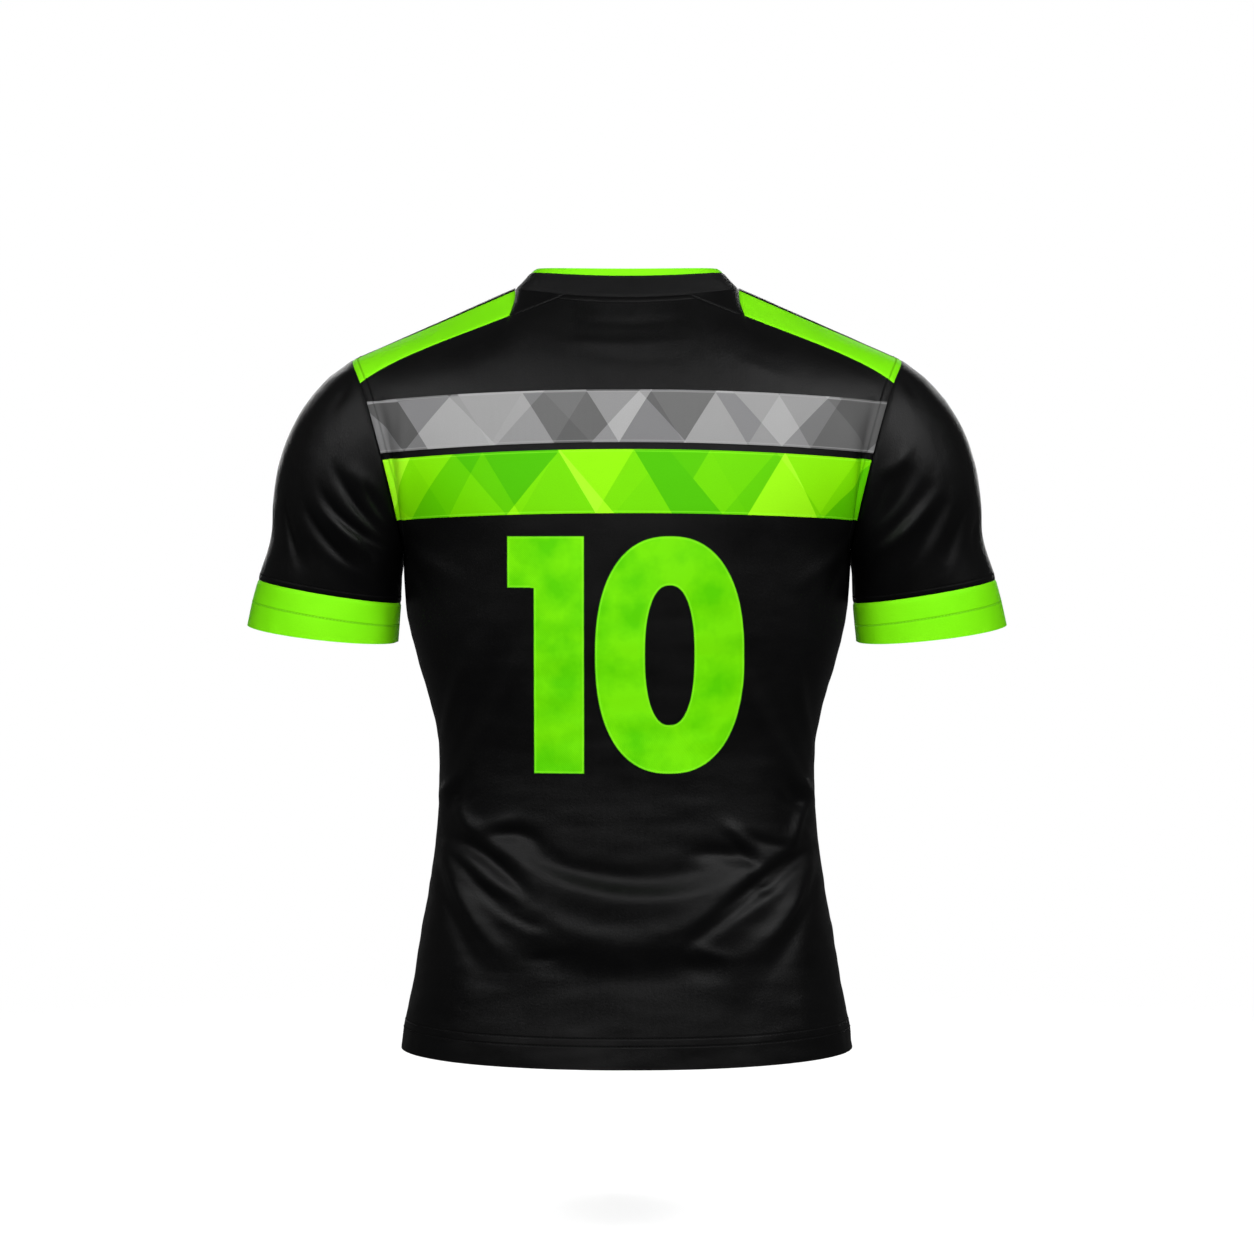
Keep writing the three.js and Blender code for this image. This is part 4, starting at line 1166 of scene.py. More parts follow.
    def build(self) -> Panel:
        """Makes the panel and its stitches.

        Returns:
            The surface, which the prints lie on.
        """
        shares = stops(self.top_run, soft_end=True, also=self.top_stops)[1:]
        panel = Panel.plain(BACK, PITCH, shares, back_top_share(COLUMNS))
        grid = panel.grid
        to_neck = nearest(grid[-1][np.abs(COLUMNS) < GUSSET_TIP + TINY], grid)[0]
        panel.creased(self.folds, Facing.BACK, self.waist, self.seeds)
        strip = smoothstep(-to_neck, -self.neck_line - 0.5, -self.neck_line + 0.5)
        strip *= smoothstep(-np.abs(grid[..., 0]), -self.neck_line_half, -self.neck_line_half + 6)
        panel.grid = panel.grid + panel.normals * (strip * self.neck_strip_rise)[..., None]
        from_hem = run_lengths(panel.grid, 0)
        low = grid[..., 2] < LINES_APART
        a = np.where(low, from_hem - self.hem_lines[0], panel.to_armhole - self.armhole_line)
        b = np.where(low, from_hem - self.hem_lines[1], to_neck - self.neck_line)
        Sheet("back_panel", "back", "black_cloth", BLACK_KNIT, panel.cut(), lines=(a, b)).build()
        lines = panel.stitched(self.hem_lines, self.armhole_line)
        lines.append(self.neck_stitches(panel, to_neck))
        Stitches("back_stitches", "black_cloth", BLACK_THREAD).build(lines)
        return panel

    def neck_stitches(self, panel: Panel, to_neck: Array) -> Array:
        """Returns the stitched line below the collar."""
        places = np.flatnonzero(np.abs(panel.grid[-1, :, 0]) < self.neck_line_half - 4)
        places = places[np.abs(COLUMNS[places]) <= GUSSET_TIP + TINY]
        rows = np.arange(len(panel.grid) - self.neck_rows, len(panel.grid), dtype=float)
        line = []
        for place in places:
            row = np.interp(-self.neck_line, -to_neck[-self.neck_rows:, place], rows)
            line.append(panel.between(np.array(row), np.array(float(place)), THREAD_LIFT))
        return np.array(line)


def dipped(grid: Array, normals: Array, edges: Sequence[Array]) -> Array:
    """Turns the sewn edges of a piece in.

    Args:
        grid: The cloth.
        normals: Its normals.
        edges: The sewn edges as rows of points.

    Returns:
        The moved points.
    """
    return turned_in(grid, normals, np.minimum.reduce([nearest(edge, grid)[0] for edge in edges]))


def turned_in(grid: Array, normals: Array, away: Array) -> Array:
    """Returns the cloth turned in at its edge, given how far each point lies from it."""
    dip = EDGE_DIP * np.exp(-((away / EDGE_DIP_REACH) ** 2))
    return grid - normals * dip[..., None]


def contour(panel: Panel, distance: Array, at: float, way: int) -> Array:
    """Follows a line at a constant distance from a seam, row by row.

    Args:
        panel: The cloth.
        distance: The distance of each point of it from the seam.
        at: The distance to follow.
        way: -1 for the left side and 1 for the right.

    Returns:
        Points of the line.
    """
    middle = panel.grid.shape[1] // 2
    last = panel.grid.shape[1] - 1
    order = np.arange(middle + 1) if way < 0 else np.arange(last, middle - 1, -1)
    line = []
    for i, row in enumerate(distance):
        values = row[order]
        if values[0] < at < values.max():
            first = int(np.argmax(values > at))
            share = (at - values[first - 1]) / (values[first] - values[first - 1])
            place = mix(float(order[first - 1]), float(order[first]), share)
            line.append(panel.between(np.array(float(i)), np.array(place), THREAD_LIFT))
    return np.array(line)


@dataclass
class Stitches:
    """Rows of small stitches, one mesh for the rows of a piece."""

    name: str
    slot: str
    thread: Thread
    pitch: float = 3.1
    length: float = 2.3
    radius: float = 0.34
    odd_way: tuple[float, float, float] = (0.31, 0.83, 0.47)  # parallel to no seam

    def build(self, lines: Sequence[Array], closed: bool = False) -> bpy.types.Object:
        """Makes the stitches.

        Args:
            lines: Points along each row of stitches.
            closed: Whether each row joins up with itself.

        Returns:
            The joined mesh.
        """
        bpy.ops.object.select_all(action="DESELECT")
        bpy.ops.mesh.primitive_uv_sphere_add(segments=6, ring_count=4, radius=1.0)
        piece = bpy.context.object
        piece.name = piece.data.name = self.name
        shape = np.array([v.co for v in piece.data.vertices])
        faces = [tuple(p.vertices) for p in piece.data.polygons]
        points: list[Array] = []
        for line in lines:
            line = closed_row(line) if closed else line
            runs = run_lengths(line[None], 1)[0]
            count = int(runs[-1] / self.pitch)
            middles = (np.arange(count) + 0.5) * runs[-1] / count
            ends = (middles - self.length / 2, middles + self.length / 2)
            start, end = (np.stack([np.interp(e, runs, line[:, k]) for k in range(3)], axis=-1) for e in ends)
            along = end - start
            way = unit(along)
            up = unit(np.cross(way, self.odd_way))
            side = np.cross(way, up)
            x, y, z = (shape[None, :, k, None] for k in range(3))
            local = z * along[:, None] / 2 + (x * up[:, None] + y * side[:, None]) * self.radius
            points.extend(((start + end) / 2)[:, None] + local)
        corners = np.concatenate(points) * MM
        every = [tuple(k + i * len(shape) for k in face) for i in range(len(points)) for face in faces]
        piece.data.clear_geometry()
        piece.data.from_pydata(corners.tolist(), [], every)
        bpy.ops.object.mode_set(mode="EDIT")
        bpy.ops.mesh.select_all(action="SELECT")
        bpy.ops.mesh.normals_make_consistent(inside=False)
        bpy.ops.object.mode_set(mode="OBJECT")
        bpy.ops.object.shade_smooth()
        piece.data.materials.append(material_of(self.thread))
        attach(piece, "root")
        log.info("%s: %d stitches", self.name, len(points))
        return piece


@dataclass
class FrontPanel:
    """The front of the body, which the picture doesn't show."""

    hem_lines: tuple[float, float] = (20.0, 27.0)
    armhole_line: float = 7.0
    top_run: float = 118.0  # the cloth above the yoke height
    pitch: float = 4.4  # between rows below the armpits
    waist: float = 0.5
    seeds: tuple[float, float, float] = (23.9, 31.3, 25.1)
    folds: tuple[Fold, ...] = (
        Fold(-120, -470, -6, -512, 112, -486, 3.2, 11, 1.3),
        Fold(-104, -508, 10, -548, 118, -520, 2.6, 11),
        Fold(-88, -496, 4, -530, 92, -506, -2.0, 8),
        Fold(164, -470, 128, -492, 84, -528, -3.6, 9),
        Fold(-164, -478, -122, -504, -70, -556, -3.6, 9),
        Fold(-160, -494, -138, -548, -98, -590, 3.0, 12),
        Fold(160, -488, 138, -544, 104, -592, 3.0, 12),
        Fold(146, -322, 154, -366, 162, -412, 1.6, 9),
        Fold(-146, -318, -156, -362, -163, -408, 1.6, 9),
        Fold(104, -330, 122, -378, 152, -440, 1.4, 9),
        Fold(-100, -334, -118, -384, -150, -436, 1.4, 9),
        Fold(-150, -600, -148, -632, -152, -668, 1.0, 13),
        Fold(92, -604, 98, -636, 94, -668, -0.9, 13),
        Fold(-20, -590, -16, -628, -24, -668, 0.8, 16),
        Fold(190, -216, 158, -236, 118, -244, 1.8, 9),
        Fold(-190, -218, -160, -236, -122, -246, 1.8, 9),
        Fold(194, -236, 174, -268, 156, -310, -1.8, 9),
        Fold(-194, -234, -174, -264, -154, -304, -1.8, 9),
        Fold(-40, -128, 0, -134, 44, -127, 0.7, 8),
    )

    def build(self) -> Panel:
        """Makes the panel and its stitches.

        Returns:
            The surface, whose rows the sleeves follow.
        """
        shares = stops(self.top_run, soft_end=True)[1:]
        panel = Panel.plain(FRONT, self.pitch, shares, np.ones(len(COLUMNS)))
        low = panel.grid[..., 2] < LINES_APART
        panel.creased(self.folds, Facing.FRONT, self.waist, self.seeds)
        from_hem = run_lengths(panel.grid, 0)
        a = np.where(low, from_hem - self.hem_lines[0], panel.to_armhole - self.armhole_line)
        b = from_hem - self.hem_lines[1]
        cut = panel.cut()
        beside_armhole = np.zeros((len(cut), cut.shape[1] + 2), bool)
        beside_armhole[cut[:, 0, 2] > ARMPIT[1] + 1, :: cut.shape[1] + 1] = True
        Sheet("front_panel", "front", "black_cloth", BLACK_KNIT, cut, sewn=Edges(first=True, last=True),
              cut_away=beside_armhole, lines=(a, b)).build()
        lines = panel.stitched(self.hem_lines, self.armhole_line)
        Stitches("front_stitches", "black_cloth", BLACK_THREAD).build(lines)
        return panel


@dataclass
class ShoulderPieces:
    """The lime shoulder panels, and the small black gussets between them and the collar."""

    panel_run: float = 25.0
    gusset_run: float = 20.0
    pitch: float = 2.6
    armhole_line: float = 5.5
    swell: float = 0.35
    seed: float = 41.0
    gusset_start: float = 0.25  # share of the first step by which a gusset stays off its own tip

    def above_back(self, columns: Array, shares: Array) -> Array:
        """Returns the points between the back panel's end and the seams above, rows rising."""
        start = back_top_share(columns)
        return BACK.over(columns[None], mix(start[None], 1.0, shares[:, None]))

    def build(self) -> Array:
        """Makes the four pieces.

        Returns:
            The shares at which the panels' rows lie.
        """
        shares = stops(self.panel_run, soft_start=True, soft_end=True, pitch=self.pitch)
        for side, way in (("left", -1), ("right", 1)):
            columns = SHOULDER_COLUMNS if way > 0 else -SHOULDER_COLUMNS[::-1]
            grid = self.above_back(columns, shares)
            normals = grid_normals(grid)
            edge = np.minimum.reduce([nearest(e, grid)[0] for e in (grid[0], grid[-1])])
            lift = self.swell * ripples(grid, (16, 30, 12), self.seed + way) * smoothstep(edge, 0, 6)
            grid = grid + normals * lift[..., None]
            cut = pulled_in(grid, SEAM_GAP / 2, Edges(True, True, way > 0, way < 0))
            cut = dipped(cut, normals, (cut[0], cut[-1], cut[:, 0], cut[:, -1]))
            outer = cut[:, -1] if way > 0 else cut[:, 0]
            line = nearest(outer, cut)[0] - self.armhole_line
            Sheet(f"shoulder_strip_{side}", f"shoulder_panel_{side}", "lime_cloth", LIME_KNIT, cut,
                  sewn=Edges(True, True), lines=(line,)).build()
            inner = NECK_COLUMNS[NECK_COLUMNS >= GUSSET_TIP - TINY]
            inner[0] = mix(inner[0], inner[1], self.gusset_start)
            inner = inner if way > 0 else -inner[::-1]
            grid = self.above_back(inner, stops(self.gusset_run, pitch=self.pitch))
            cut = pulled_in(grid, SEAM_GAP, Edges(True, False, True, True))
            Sheet(f"gusset_{side}", f"neck_gusset_{side}", "black_cloth", BLACK_KNIT, cut,
                  sewn=Edges(True, False, way < 0, way > 0)).build()
        return shares


@dataclass
class Sleeve:
    """A sleeve with its lime cuff."""

    side: str
    folds: tuple[Fold, ...]
    front_folds: tuple[Fold, ...]
    seed: float
    sections: tuple[Section, ...] = (
        Section(246, -63, 201, -238, 80, 78, 0),
        Section(268.6, -80, 201.5, -243, 82, 79, 0),
        Section(288.5, -103, 201.9, -248, 82, 79, 0),
        Section(303.5, -130, 202.2, -254, 81, 78, 0),
        Section(313.5, -160, 202.4, -260, 78, 76, 0.5),
        Section(318, -190, 202.6, -266, 74, 73, 1),
        Section(320, -222, 202.8, -273, 69, 69, 2),
        Section(331.5, -259, 203, -280.5, 64, 64, 3),
    )
    cuff_sections: tuple[Section, ...] = (
        Section(331.6, -259.4, 203, -280.9, 64, 64, 3),
        Section(337, -280, 204.5, -298, 64, 64, 4),
        Section(341.5, -300, 206, -315.5, 63, 64, 5),
    )
    length: float = 180.0
    cuff_length: float = 41.0
    hem_line: float = 5.3
    cuff_line: float = 20.0
    taper: float = 14.0  # distance over which the folds fade out towards a seam
    swell: float = 0.5
    cuff_swell: float = 0.8

    def ovals(self, table: tuple[Section, ...], shares: Array, edge: Array) -> Array:
        """Lays ovals through a table of sections.

        Args:
            table: The sections.
            shares: How far along the table each row lies.
            edge: Points of the armhole, whose turn round the sleeve each column takes.

        Returns:
            The points.
        """
        places = np.arange(len(table))
        at = {name: smooth_through(places, [getattr(s, name) for s in table])(shares * places[-1])[:, None]
              for name in Section._fields}
        along = (edge[:, 2] - ARMHOLE_MIDDLE) / ARMHOLE_HALF
        aside = edge[:, 1] - NECK_SEAM_Y * (along + 1) / 2
        behind = aside < 0
        turn = np.arctan2(np.abs(aside) / np.where(behind, BACK.armhole_reach, FRONT.armhole_reach), along)
        share, swing = (np.cos(turn) + 1) / 2, np.sin(turn)
        reach = np.where(behind, -at["back"], at["front"])
        return np.stack([
            mix(at["in_x"], at["out_x"], share),
            reach * swing,
            mix(at["in_z"], at["out_z"], share) - at["sag"] * swing,
        ], axis=-1)

    def build(self, edge: Array) -> None:
        """Makes the sleeve and the cuff.

        Args:
            edge: Points of the right armhole, up its back and down its front.
        """
        way = 1 if self.side == "right" else -1
        shares = stops(self.length, soft_start=True, soft_end=True)
        out = unit(np.array([SHOULDER_TIP[1] - ARMPIT[1], 0, ARMPIT[0] - SHOULDER_TIP[0]]))
        strayed = edge - self.ovals(self.sections, np.zeros(1), edge)[0]
        rest = (1 - shares)[:, None, None]
        grid = self.ovals(self.sections, shares, edge) + strayed * rest**2 + out * ARMHOLE_GAP * rest
        cuff_shares = stops(self.cuff_length, soft_start=True)
        cuff = self.ovals(self.cuff_sections, cuff_shares, edge)
        grid, cuff = (self.turned(g, way) for g in (grid, cuff))
        normals = grid_normals(grid, closed=True)
        to_armhole, to_cuff = (nearest(closed_row(row), grid)[0] for row in (grid[0], grid[-1]))
        still = smoothstep(to_armhole, 0, self.taper) * smoothstep(to_cuff, 0, self.taper)
        lift = fold_lift(self.folds, grid, normals, Facing.BACK)
        lift += fold_lift(self.front_folds, grid, normals, Facing.FRONT)
        lift += self.swell * ripples(grid, (22, 40, 34), self.seed)
        grid = grid + normals * (lift * still)[..., None]
        cut = turned_in(grid, normals, np.minimum(to_armhole, to_cuff))
        Sheet(f"{self.side}_sleeve", f"sleeve_{self.side}", "black_cloth", BLACK_KNIT, cut, closed=True,
              sewn=Edges(bottom=True), lines=(to_cuff - self.hem_line,)).build()
        row = self.row_at(to_cuff, self.hem_line, grid)
        Stitches(f"{self.side}_sleeve_stitches", "black_cloth", BLACK_THREAD).build([row], closed=True)
        normals = grid_normals(cuff, closed=True)
        from_top = np.linalg.norm(cuff - cuff[:1], axis=-1)
        wave = self.cuff_swell * ripples(cuff, (34, 34, 60), self.seed + 5) * smoothstep(from_top, 0, 20)
        cuff = cuff + normals * wave[..., None]
        cut = turned_in(cuff, normals, from_top)
        piece = Sheet(f"{self.side}_cuff", f"cuff_{self.side}", "lime_cloth", LIME_KNIT, cut, closed=True,
                      sewn=Edges(bottom=True), lines=(from_top - self.cuff_line,)).build()
        piece.visible_glossy = False  # keeps its gleam off the black flank
        row = self.row_at(from_top, self.cuff_line, cuff)
        Stitches(f"{self.side}_cuff_stitches", "lime_cloth", LIME_THREAD).build([row], closed=True)

    def turned(self, grid: Array, way: int) -> Array:
        """Returns a grid for the sleeve's own side, with its columns running right from outside."""
        return grid[:, ::-1] if way > 0 else grid * np.array([-1, 1, 1])

    def row_at(self, distance: Array, at: float, grid: Array) -> Array:
        """Returns the row of points that lie a distance from the sleeve's edge."""
        line = []
        for j in range(grid.shape[1]):
            order = np.argsort(distance[:, j])
            near = order[distance[order, j] < at][-1]
            after = near + (1 if distance[-1, j] > distance[0, j] else -1)
            span = distance[after, j] - distance[near, j]
            line.append(mix(grid[near, j], grid[after, j], (at - distance[near, j]) / span))
        return np.array(line)


@dataclass
class Collar:
    """The ribbed collar band and the lime trim along its edge."""

    rings: tuple[Ring, ...] = (
        Ring(93, -56.5, 0.5, 80, -68, 8),
        Ring(86.5, -53, 9.3, 75, -58.5, 15.5),
    )
    trim_rings: tuple[Ring, ...] = (
        Ring(86, -52.8, 9.9, 74.6, -57.9, 16.1),
        Ring(81.5, -50.5, 15.5, 71.5, -53, 18.6),
    )
    front_power: float = 1.3
    height: float = 20.5
    pitch: float = 2.4
    trim_height: float = 7.2
    trim_pitch: float = 1.6

    def turns(self) -> tuple[Array, Array, Array]:
        """Returns the stops round the neck: their turn, which side, and whether at the back."""
        quarter = NECK_COLUMNS / NECK_SHARE * math.pi / 2
        turn = np.concatenate([quarter, quarter[-2::-1], quarter[1:], quarter[-2:0:-1]])
        count = len(quarter)
        way = np.concatenate([np.ones(2 * count - 1), -np.ones(2 * count - 3)])
        behind = np.repeat([True, False, True], [count, 2 * count - 2, count - 2])
        return turn, way, behind

    def ring(self, ring: Ring, turn: Array, way: Array, behind: Array) -> Array:
        """Returns the points of a ring."""
        swing = np.maximum(np.cos(turn), 0)
        power = np.where(behind, BACK.neck_power, self.front_power)
        end_y = np.where(behind, ring.back_y, ring.front_y)
        end_z = np.where(behind, ring.back_z, ring.front_z)
        return np.stack([way * ring.half * np.sin(turn), end_y * swing,
                         mix(ring.side_z, end_z, swing**power)], axis=-1)

    def build(self) -> None:
        """Makes the band and the trim."""
        turn, way, behind = self.turns()
        column = way * turn / (math.pi / 2) * NECK_SHARE
        seam = np.where(behind[:, None], BACK.top(column), FRONT.top(column))
        rings = [self.ring(r, turn, way, behind) for r in self.rings]
        seam += unit(rings[0] - seam) * SEAM_GAP
        shares = stops(self.height, soft_start=True, soft_end=True, pitch=self.pitch)
        s = shares[:, None, None] * 2
        middle = rings[0]
        bend = (rings[1] - seam) / 2
        lower = hermite(seam, middle, middle - seam, bend, np.clip(s, 0, 1))
        upper = hermite(middle, rings[1], bend, rings[1] - middle, np.clip(s - 1, 0, 1))
        grid = np.where(s <= 1, lower, upper)
        cut = dipped(grid, grid_normals(grid, True), (closed_row(grid[0]), closed_row(grid[-1])))
        Sheet("collar_band", "collar", "collar_cloth", COLLAR_RIB, cut, closed=True,
              sewn=Edges(bottom=True)).build()
        low, high = (self.ring(r, turn, way, behind) for r in self.trim_rings)
        shares = stops(self.trim_height, soft_start=True, pitch=self.trim_pitch)
        grid = mix(low[None], high[None], shares[:, None, None])
        cut = dipped(grid, grid_normals(grid, True), (closed_row(grid[0]),))
        Sheet("collar_edge", "collar_trim", "lime_cloth", LIME_KNIT, cut, closed=True,
              sewn=Edges(bottom=True)).build()


def closed_row(row: Array) -> Array:
    """Returns a row of points that ends where it starts."""
    return np.concatenate([row, row[:1]])


def hermite(a: Array, b: Array, leave: Array, arrive: Array, s: Array) -> Array:
    """Returns points on the smooth curve from a to b with the given ways at its ends."""
    return ((2 * s**3 - 3 * s**2 + 1) * a + (s**3 - 2 * s**2 + s) * leave
            + (3 * s**2 - 2 * s**3) * b + (s**3 - s**2) * arrive)


@dataclass
class Bands:
    """The two printed bands across the shoulder blades."""

    grey: tuple[float, float] = (-94.0, -139.8)
    lime: tuple[float, float] = (-145.9, -201.3)
    end_gap: float = 1.2
    armhole_line: float = 6.0
    lift: float = 0.35
    thick: float = 0.4

    def build(self, panel: Panel) -> None:
        """Lays the bands on the back panel.

        Args:
            panel: The back panel's surface.
        """
        beside_ends = len(SOFT_STOPS) + 1
        columns = np.concatenate([COLUMNS[:1], COLUMNS[beside_ends:-beside_ends], COLUMNS[-1:]])
        bands = (("grey", self.grey, GREY_MOSAIC), ("lime", self.lime, LIME_MOSAIC))
        for name, (top, bottom), finish in bands:
            heights = mix(bottom, top, stops(top - bottom, True, True))
            grid = panel.at(columns[None], heights[:, None], self.lift + self.thick)
            grid = pulled_in(grid, self.end_gap, Edges(first=True, last=True))
            across, up = run_lengths(grid, 1), run_lengths(grid, 0)
            rim = np.minimum(up, up[-1:] - up)
            line = np.minimum(across, across[:, -1:] - across) - self.armhole_line
            Sheet(f"{name}_band", f"band_{name}", f"{name}_print", finish, grid, thick=self.thick,
                  lines=(line,), rim=rim).build()


@dataclass
class Number:
    """The plain figures 1 and 0 of the player's number."""

    top: float = -221.0
    bottom: float = -428.0
    one_left: float = -104.0
    one_stem: float = -81.0
    one_right: float = -37.0
    flag_bottom: float = -266.0
    zero_middle: float = 37.0
    zero_half: float = 65.0
    bore: float = 21.2
    bore_top: float = -264.0
    bore_bottom: float = -385.0
    squareness: float = 2.35
    pitch: float = 2.6
    lift: float = 0.35
    thick: float = 0.45

    def build(self, panel: Panel) -> None:
        """Lays both figures on the back panel."""
        turn = -np.linspace(0, TURN, 181)[:-1]
        share = stops(self.zero_half - self.bore, True, True, pitch=self.pitch)[:, None]
        power = 2 / self.squareness
        cos, sin = (np.sign(v) * np.abs(v) ** power for v in (np.cos(turn), np.sin(turn)))
        high = mix((self.bore_top - self.bore_bottom) / 2, (self.top - self.bottom) / 2, share)
        middle = mix((self.bore_top + self.bore_bottom) / 2, (self.top + self.bottom) / 2, share)
        x = self.zero_middle + mix(self.bore, self.zero_half, share) * cos
        z = middle + high * sin
        grid = panel.seen_at(x, z, self.lift + self.thick)
        up = run_lengths(grid, 0)
        Sheet("figure_zero", "digit_zero", "number_print", NUMBER_FILM, grid, closed=True, thick=self.thick,
              rim=np.minimum(up, up[-1:] - up)).build()
        self.build_one(panel)

    def build_one(self, panel: Panel) -> None:
        """Makes the figure 1 as one sheet whose flag is the left part of its upper rows."""
        across = stops(self.one_right - self.one_stem, True, True, pitch=self.pitch)
        flag = stops(self.one_stem - self.one_left, True, pitch=self.pitch)
        low = stops(self.flag_bottom - self.bottom, True, pitch=self.pitch)
        high = stops(self.top - self.flag_bottom, True, True, pitch=self.pitch)
        z = np.concatenate([mix(self.bottom, self.flag_bottom, low),
                            mix(self.flag_bottom, self.top, high)[1:]])
        x = np.concatenate([mix(self.one_left, self.one_stem, flag),
                            mix(self.one_stem, self.one_right, across)[1:]])
        places_x, places_z = np.meshgrid(x, z)
        grid = panel.seen_at(places_x, places_z, self.lift + self.thick)
        in_flag = places_z > self.flag_bottom
        left = np.where(in_flag, places_x - self.one_left, places_x - self.one_stem)
        under_flag = np.where(places_x < self.one_stem, places_z - self.flag_bottom, np.inf)
        rim = np.minimum.reduce([np.maximum(left, 0), self.one_right - places_x, self.top - places_z,
                                 places_z - self.bottom, np.maximum(under_flag, 0)])
        below = (places_x < self.one_stem - TINY) & (places_z < self.flag_bottom - TINY)
        Sheet("figure_one", "digit_one", "number_print", NUMBER_FILM, grid, thick=self.thick,
              rim=rim, cut_away=below).build()


class Lamp(NamedTuple):
    """A soft square lamp: where it hangs, the side of its square, its power, and if shiny cloth shows it."""

    name: str
    at: Place
    size: float
    watts: float
    mirrored: bool = True


@dataclass
class Studio:
    """The floor, the lights and the camera, in metres."""

    floor_z: float = -0.855
    floor_radius: float = 1.9
    surround: float = 0.06  # how strongly the white surround lights the jersey
    camera_at: Place = (0.0, -3.2, -0.229)
    aim: Place = (0.0, 0.0, -0.3026)
    lamp_aim: Place = (0.0, 0.0, -0.32)
    lamps: tuple[Lamp, ...] = (
        Lamp("upper_left", (-1.9, -2.0, 1.7), 0.9, 35),
        Lamp("upper_right", (2.0, -1.9, 1.7), 0.9, 47),
        Lamp("top", (0.0, -2.3, 1.6), 1.1, 7),
        Lamp("low", (0.0, -3.2, 0.9), 1.0, 7),
        Lamp("fill", (0.0, -3.6, 0.1), 1.8, 97, mirrored=False),
        Lamp("front_left", (-1.0, 3.2, 0.5), 1.2, 22),
        Lamp("front_right", (1.0, 3.2, 0.5), 1.2, 22),
        Lamp("front_fill", (0.0, 3.8, 0.1), 1.8, 40, mirrored=False),
    )
    focal_pixels: float = 3556.0
    picture_pixels: float = 1254.0
    sensor: float = 36.0

    def build(self) -> None:
        """Sets up everything that isn't part of the object."""
        scene = bpy.context.scene
        scene.view_settings.view_transform = "Standard"
        bpy.ops.object.select_all(action="DESELECT")
        bpy.ops.mesh.primitive_circle_add(vertices=96, radius=self.floor_radius, fill_type="NGON")
        floor = bpy.context.object
        floor.name = "floor"
        floor.data.transform(Matrix.Translation((0, 0, self.floor_z)))
        floor.data.materials.append(self.paper())
        floor.visible_glossy = floor.visible_diffuse = False
        camera = self.aimed("camera", bpy.data.cameras.new("camera"), self.camera_at, self.aim)
        camera.data.sensor_width = self.sensor
        camera.data.lens = self.sensor * self.focal_pixels / self.picture_pixels
        scene.camera = camera
        for lamp in self.lamps:
            self.light(lamp)
        self.world(scene)

    def aimed(self, name: str, data: Any, at: Place, aim: Place) -> bpy.types.Object:
        """Adds a camera or lamp at one place that faces another, and returns it."""
        holder = bpy.data.objects.new(name, data)
        bpy.context.scene.collection.objects.link(holder)
        holder.location = at
        holder.rotation_euler = (Vector(aim) - holder.location).to_track_quat("-Z", "Y").to_euler()
        return holder

    def paper(self) -> bpy.types.Material:
        """Returns the floor's pale paper, which fades out into the white surround."""
        n = Nodes("floor_paper")
        place = n.add("TexCoord").outputs["Object"]
        grain = n.grain(place, 40.0)
        n.finish(n.ramp(grain, (0.3, (0.92,) * 3), (0.7, (0.94,) * 3)), 0.9, grain, 0.0001,
                 Emission_Color=(1, 1, 1, 1), Emission_Strength=0.55, Specular_IOR_Level=0.1)
        flat = n.add("VectorMath", {0: place, 1: (1.0, 1.0, 0.0)}, operation="MULTIPLY").outputs[0]
        away = n.add("VectorMath", {0: flat}, operation="LENGTH").outputs["Value"]
        fade = n.ranged(away, self.floor_radius * 0.3, self.floor_radius * 0.95, 0.0, 1.0, "SMOOTHSTEP")
        shader = next(node for node in n.tree.nodes if node.type == "BSDF_PRINCIPLED")
        clear = n.add("BsdfTransparent").outputs[0]
        both = n.add("MixShader", {0: fade, 1: shader.outputs[0], 2: clear})
        output = next(node for node in n.tree.nodes if node.type == "OUTPUT_MATERIAL")
        n.tree.links.new(both.outputs[0], output.inputs[0])
        return n.material

    def light(self, lamp: Lamp) -> None:
        """Adds a lamp that faces the jersey."""
        data = bpy.data.lights.new(lamp.name, "AREA")
        data.size = lamp.size
        data.energy = lamp.watts
        holder = self.aimed(lamp.name, data, lamp.at, self.lamp_aim)
        holder.visible_glossy = lamp.mirrored
        holder.visible_camera = False

    def world(self, scene: bpy.types.Scene) -> None:
        """Gives the scene a white surround that lights the jersey only a little."""
        world = bpy.data.worlds.new("surround")
        scene.world = world
        world.use_nodes = True
        tree = world.node_tree
        back = tree.nodes["Background"]
        path = tree.nodes.new("ShaderNodeLightPath")
        strength = tree.nodes.new("ShaderNodeMapRange")
        strength.inputs[3].default_value = self.surround
        strength.inputs[4].default_value = 1.0
        back.inputs[0].default_value = (1, 1, 1, 1)
        tree.links.new(path.outputs["Is Camera Ray"], strength.inputs[0])
        tree.links.new(strength.outputs[0], back.inputs[1])


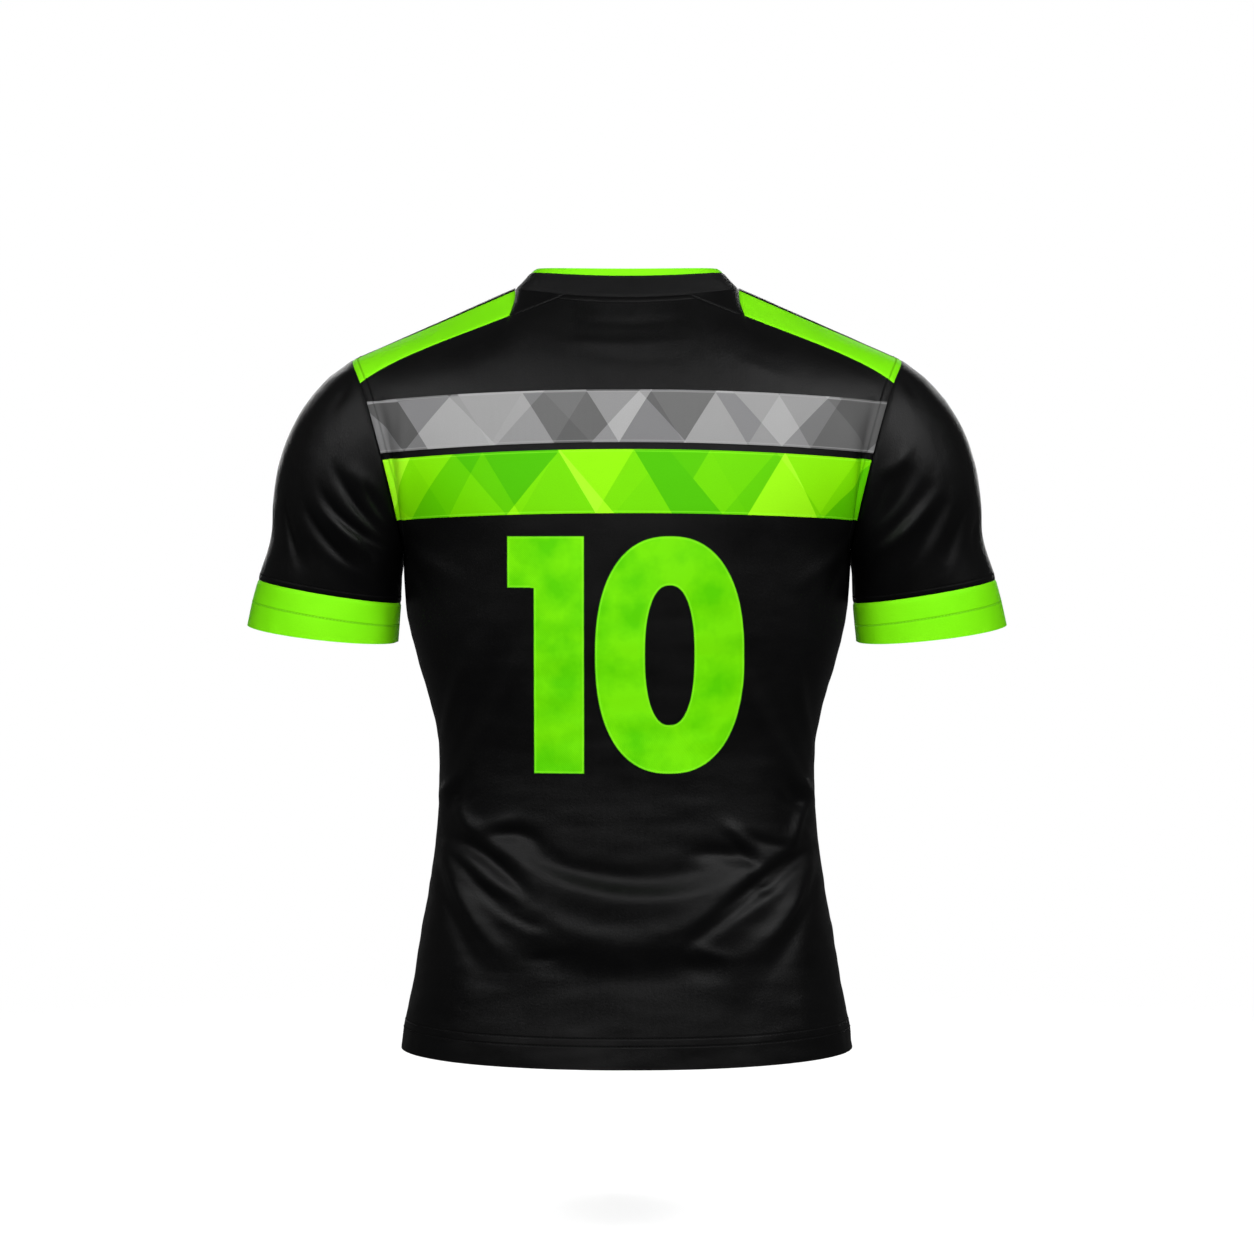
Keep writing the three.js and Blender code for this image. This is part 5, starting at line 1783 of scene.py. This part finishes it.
LEFT_SLEEVE = Sleeve(
    "left", seed=61.0,
    folds=(
        Fold(-258, -160, -239, -193, -213, -221, -5.1, 6, 0.55),
        Fold(-270, -180, -250, -208, -213, -230, -5.1, 6, 0.55),
        Fold(-236, -220, -227, -233, -223, -245, -2.7, 5, 0.55),
        Fold(-284, -195, -266, -225, -240, -248, -4.2, 6, 0.55),
        Fold(-303, -193, -299, -220, -287, -248, -2.7, 6, 0.55),
        Fold(-244, -160, -232, -172, -218, -185, 2.7, 7),
        Fold(-264, -196, -246, -220, -226, -240, 3.3, 6),
        Fold(-246, -77, -250, -92, -256, -108, -1.5, 6),
        Fold(-231, -168, -222, -192, -208, -210, -2.7, 6, 0.55),
    ),
    front_folds=(
        Fold(-254, -166, -240, -196, -214, -222, -4.5, 7),
        Fold(-272, -184, -252, -214, -218, -238, -3.9, 7),
        Fold(-290, -200, -276, -226, -250, -250, -3.0, 7),
    ),
)
RIGHT_SLEEVE = Sleeve(
    "right", seed=83.0,
    folds=(
        Fold(252, -158, 238, -188, 213, -213, -5.1, 6, 1.8),
        Fold(269, -171, 249, -201, 212, -233, -5.1, 6, 1.8),
        Fold(282, -187, 270, -213, 251, -245, -4.2, 6, 1.8),
        Fold(301, -194, 289, -225, 281, -247, -3.0, 6, 1.8),
        Fold(311, -204, 310, -216, 306, -230, -1.5, 5),
        Fold(247, -145, 236, -158, 222, -170, 2.7, 7),
        Fold(262, -190, 246, -214, 224, -236, 3.3, 6),
        Fold(243, -73, 248, -84, 255, -100, -1.5, 6),
        Fold(230, -164, 221, -188, 208, -206, -2.7, 6, 1.8),
    ),
    front_folds=(
        Fold(256, -162, 240, -192, 214, -220, -4.5, 7),
        Fold(274, -180, 254, -210, 216, -236, -3.9, 7),
        Fold(292, -198, 276, -222, 248, -248, -3.0, 7),
    ),
)


def armhole_edge(back: Panel, front: Panel, strip_shares: Array) -> Array:
    """Collects the points of the right armhole, so that a sleeve has a column for each.

    Args:
        back: The back panel.
        front: The front panel.
        strip_shares: Where the rows of the shoulder panel lie.

    Returns:
        Points up the armhole's back and down its front.
    """
    up = back.heights[back.heights >= ARMPIT[1] - TINY]
    down = front.heights[front.heights > ARMPIT[1] + TINY]
    end = back_top_share(np.array(1.0))
    front_edge = np.concatenate([FRONT.body(1.0, down), FRONT.over(1.0, front.shares[:-1])])
    return np.concatenate([
        BACK.body(1.0, up),
        BACK.over(1.0, back.shares * end),
        BACK.over(1.0, mix(end, 1.0, strip_shares[1:])),
        front_edge[::-1],
    ])


def main() -> None:
    """Builds the jersey and the studio, piece by piece."""
    logging.basicConfig(level=logging.INFO, format="%(message)s")
    Studio().build()
    back = BackPanel().build()
    front = FrontPanel().build()
    strip_shares = ShoulderPieces().build()
    edge = armhole_edge(back, front, strip_shares)
    for sleeve in (LEFT_SLEEVE, RIGHT_SLEEVE):
        sleeve.build(edge)
    Collar().build()
    Bands().build(back)
    Number().build(back)


if __name__ == "__main__":
    main()
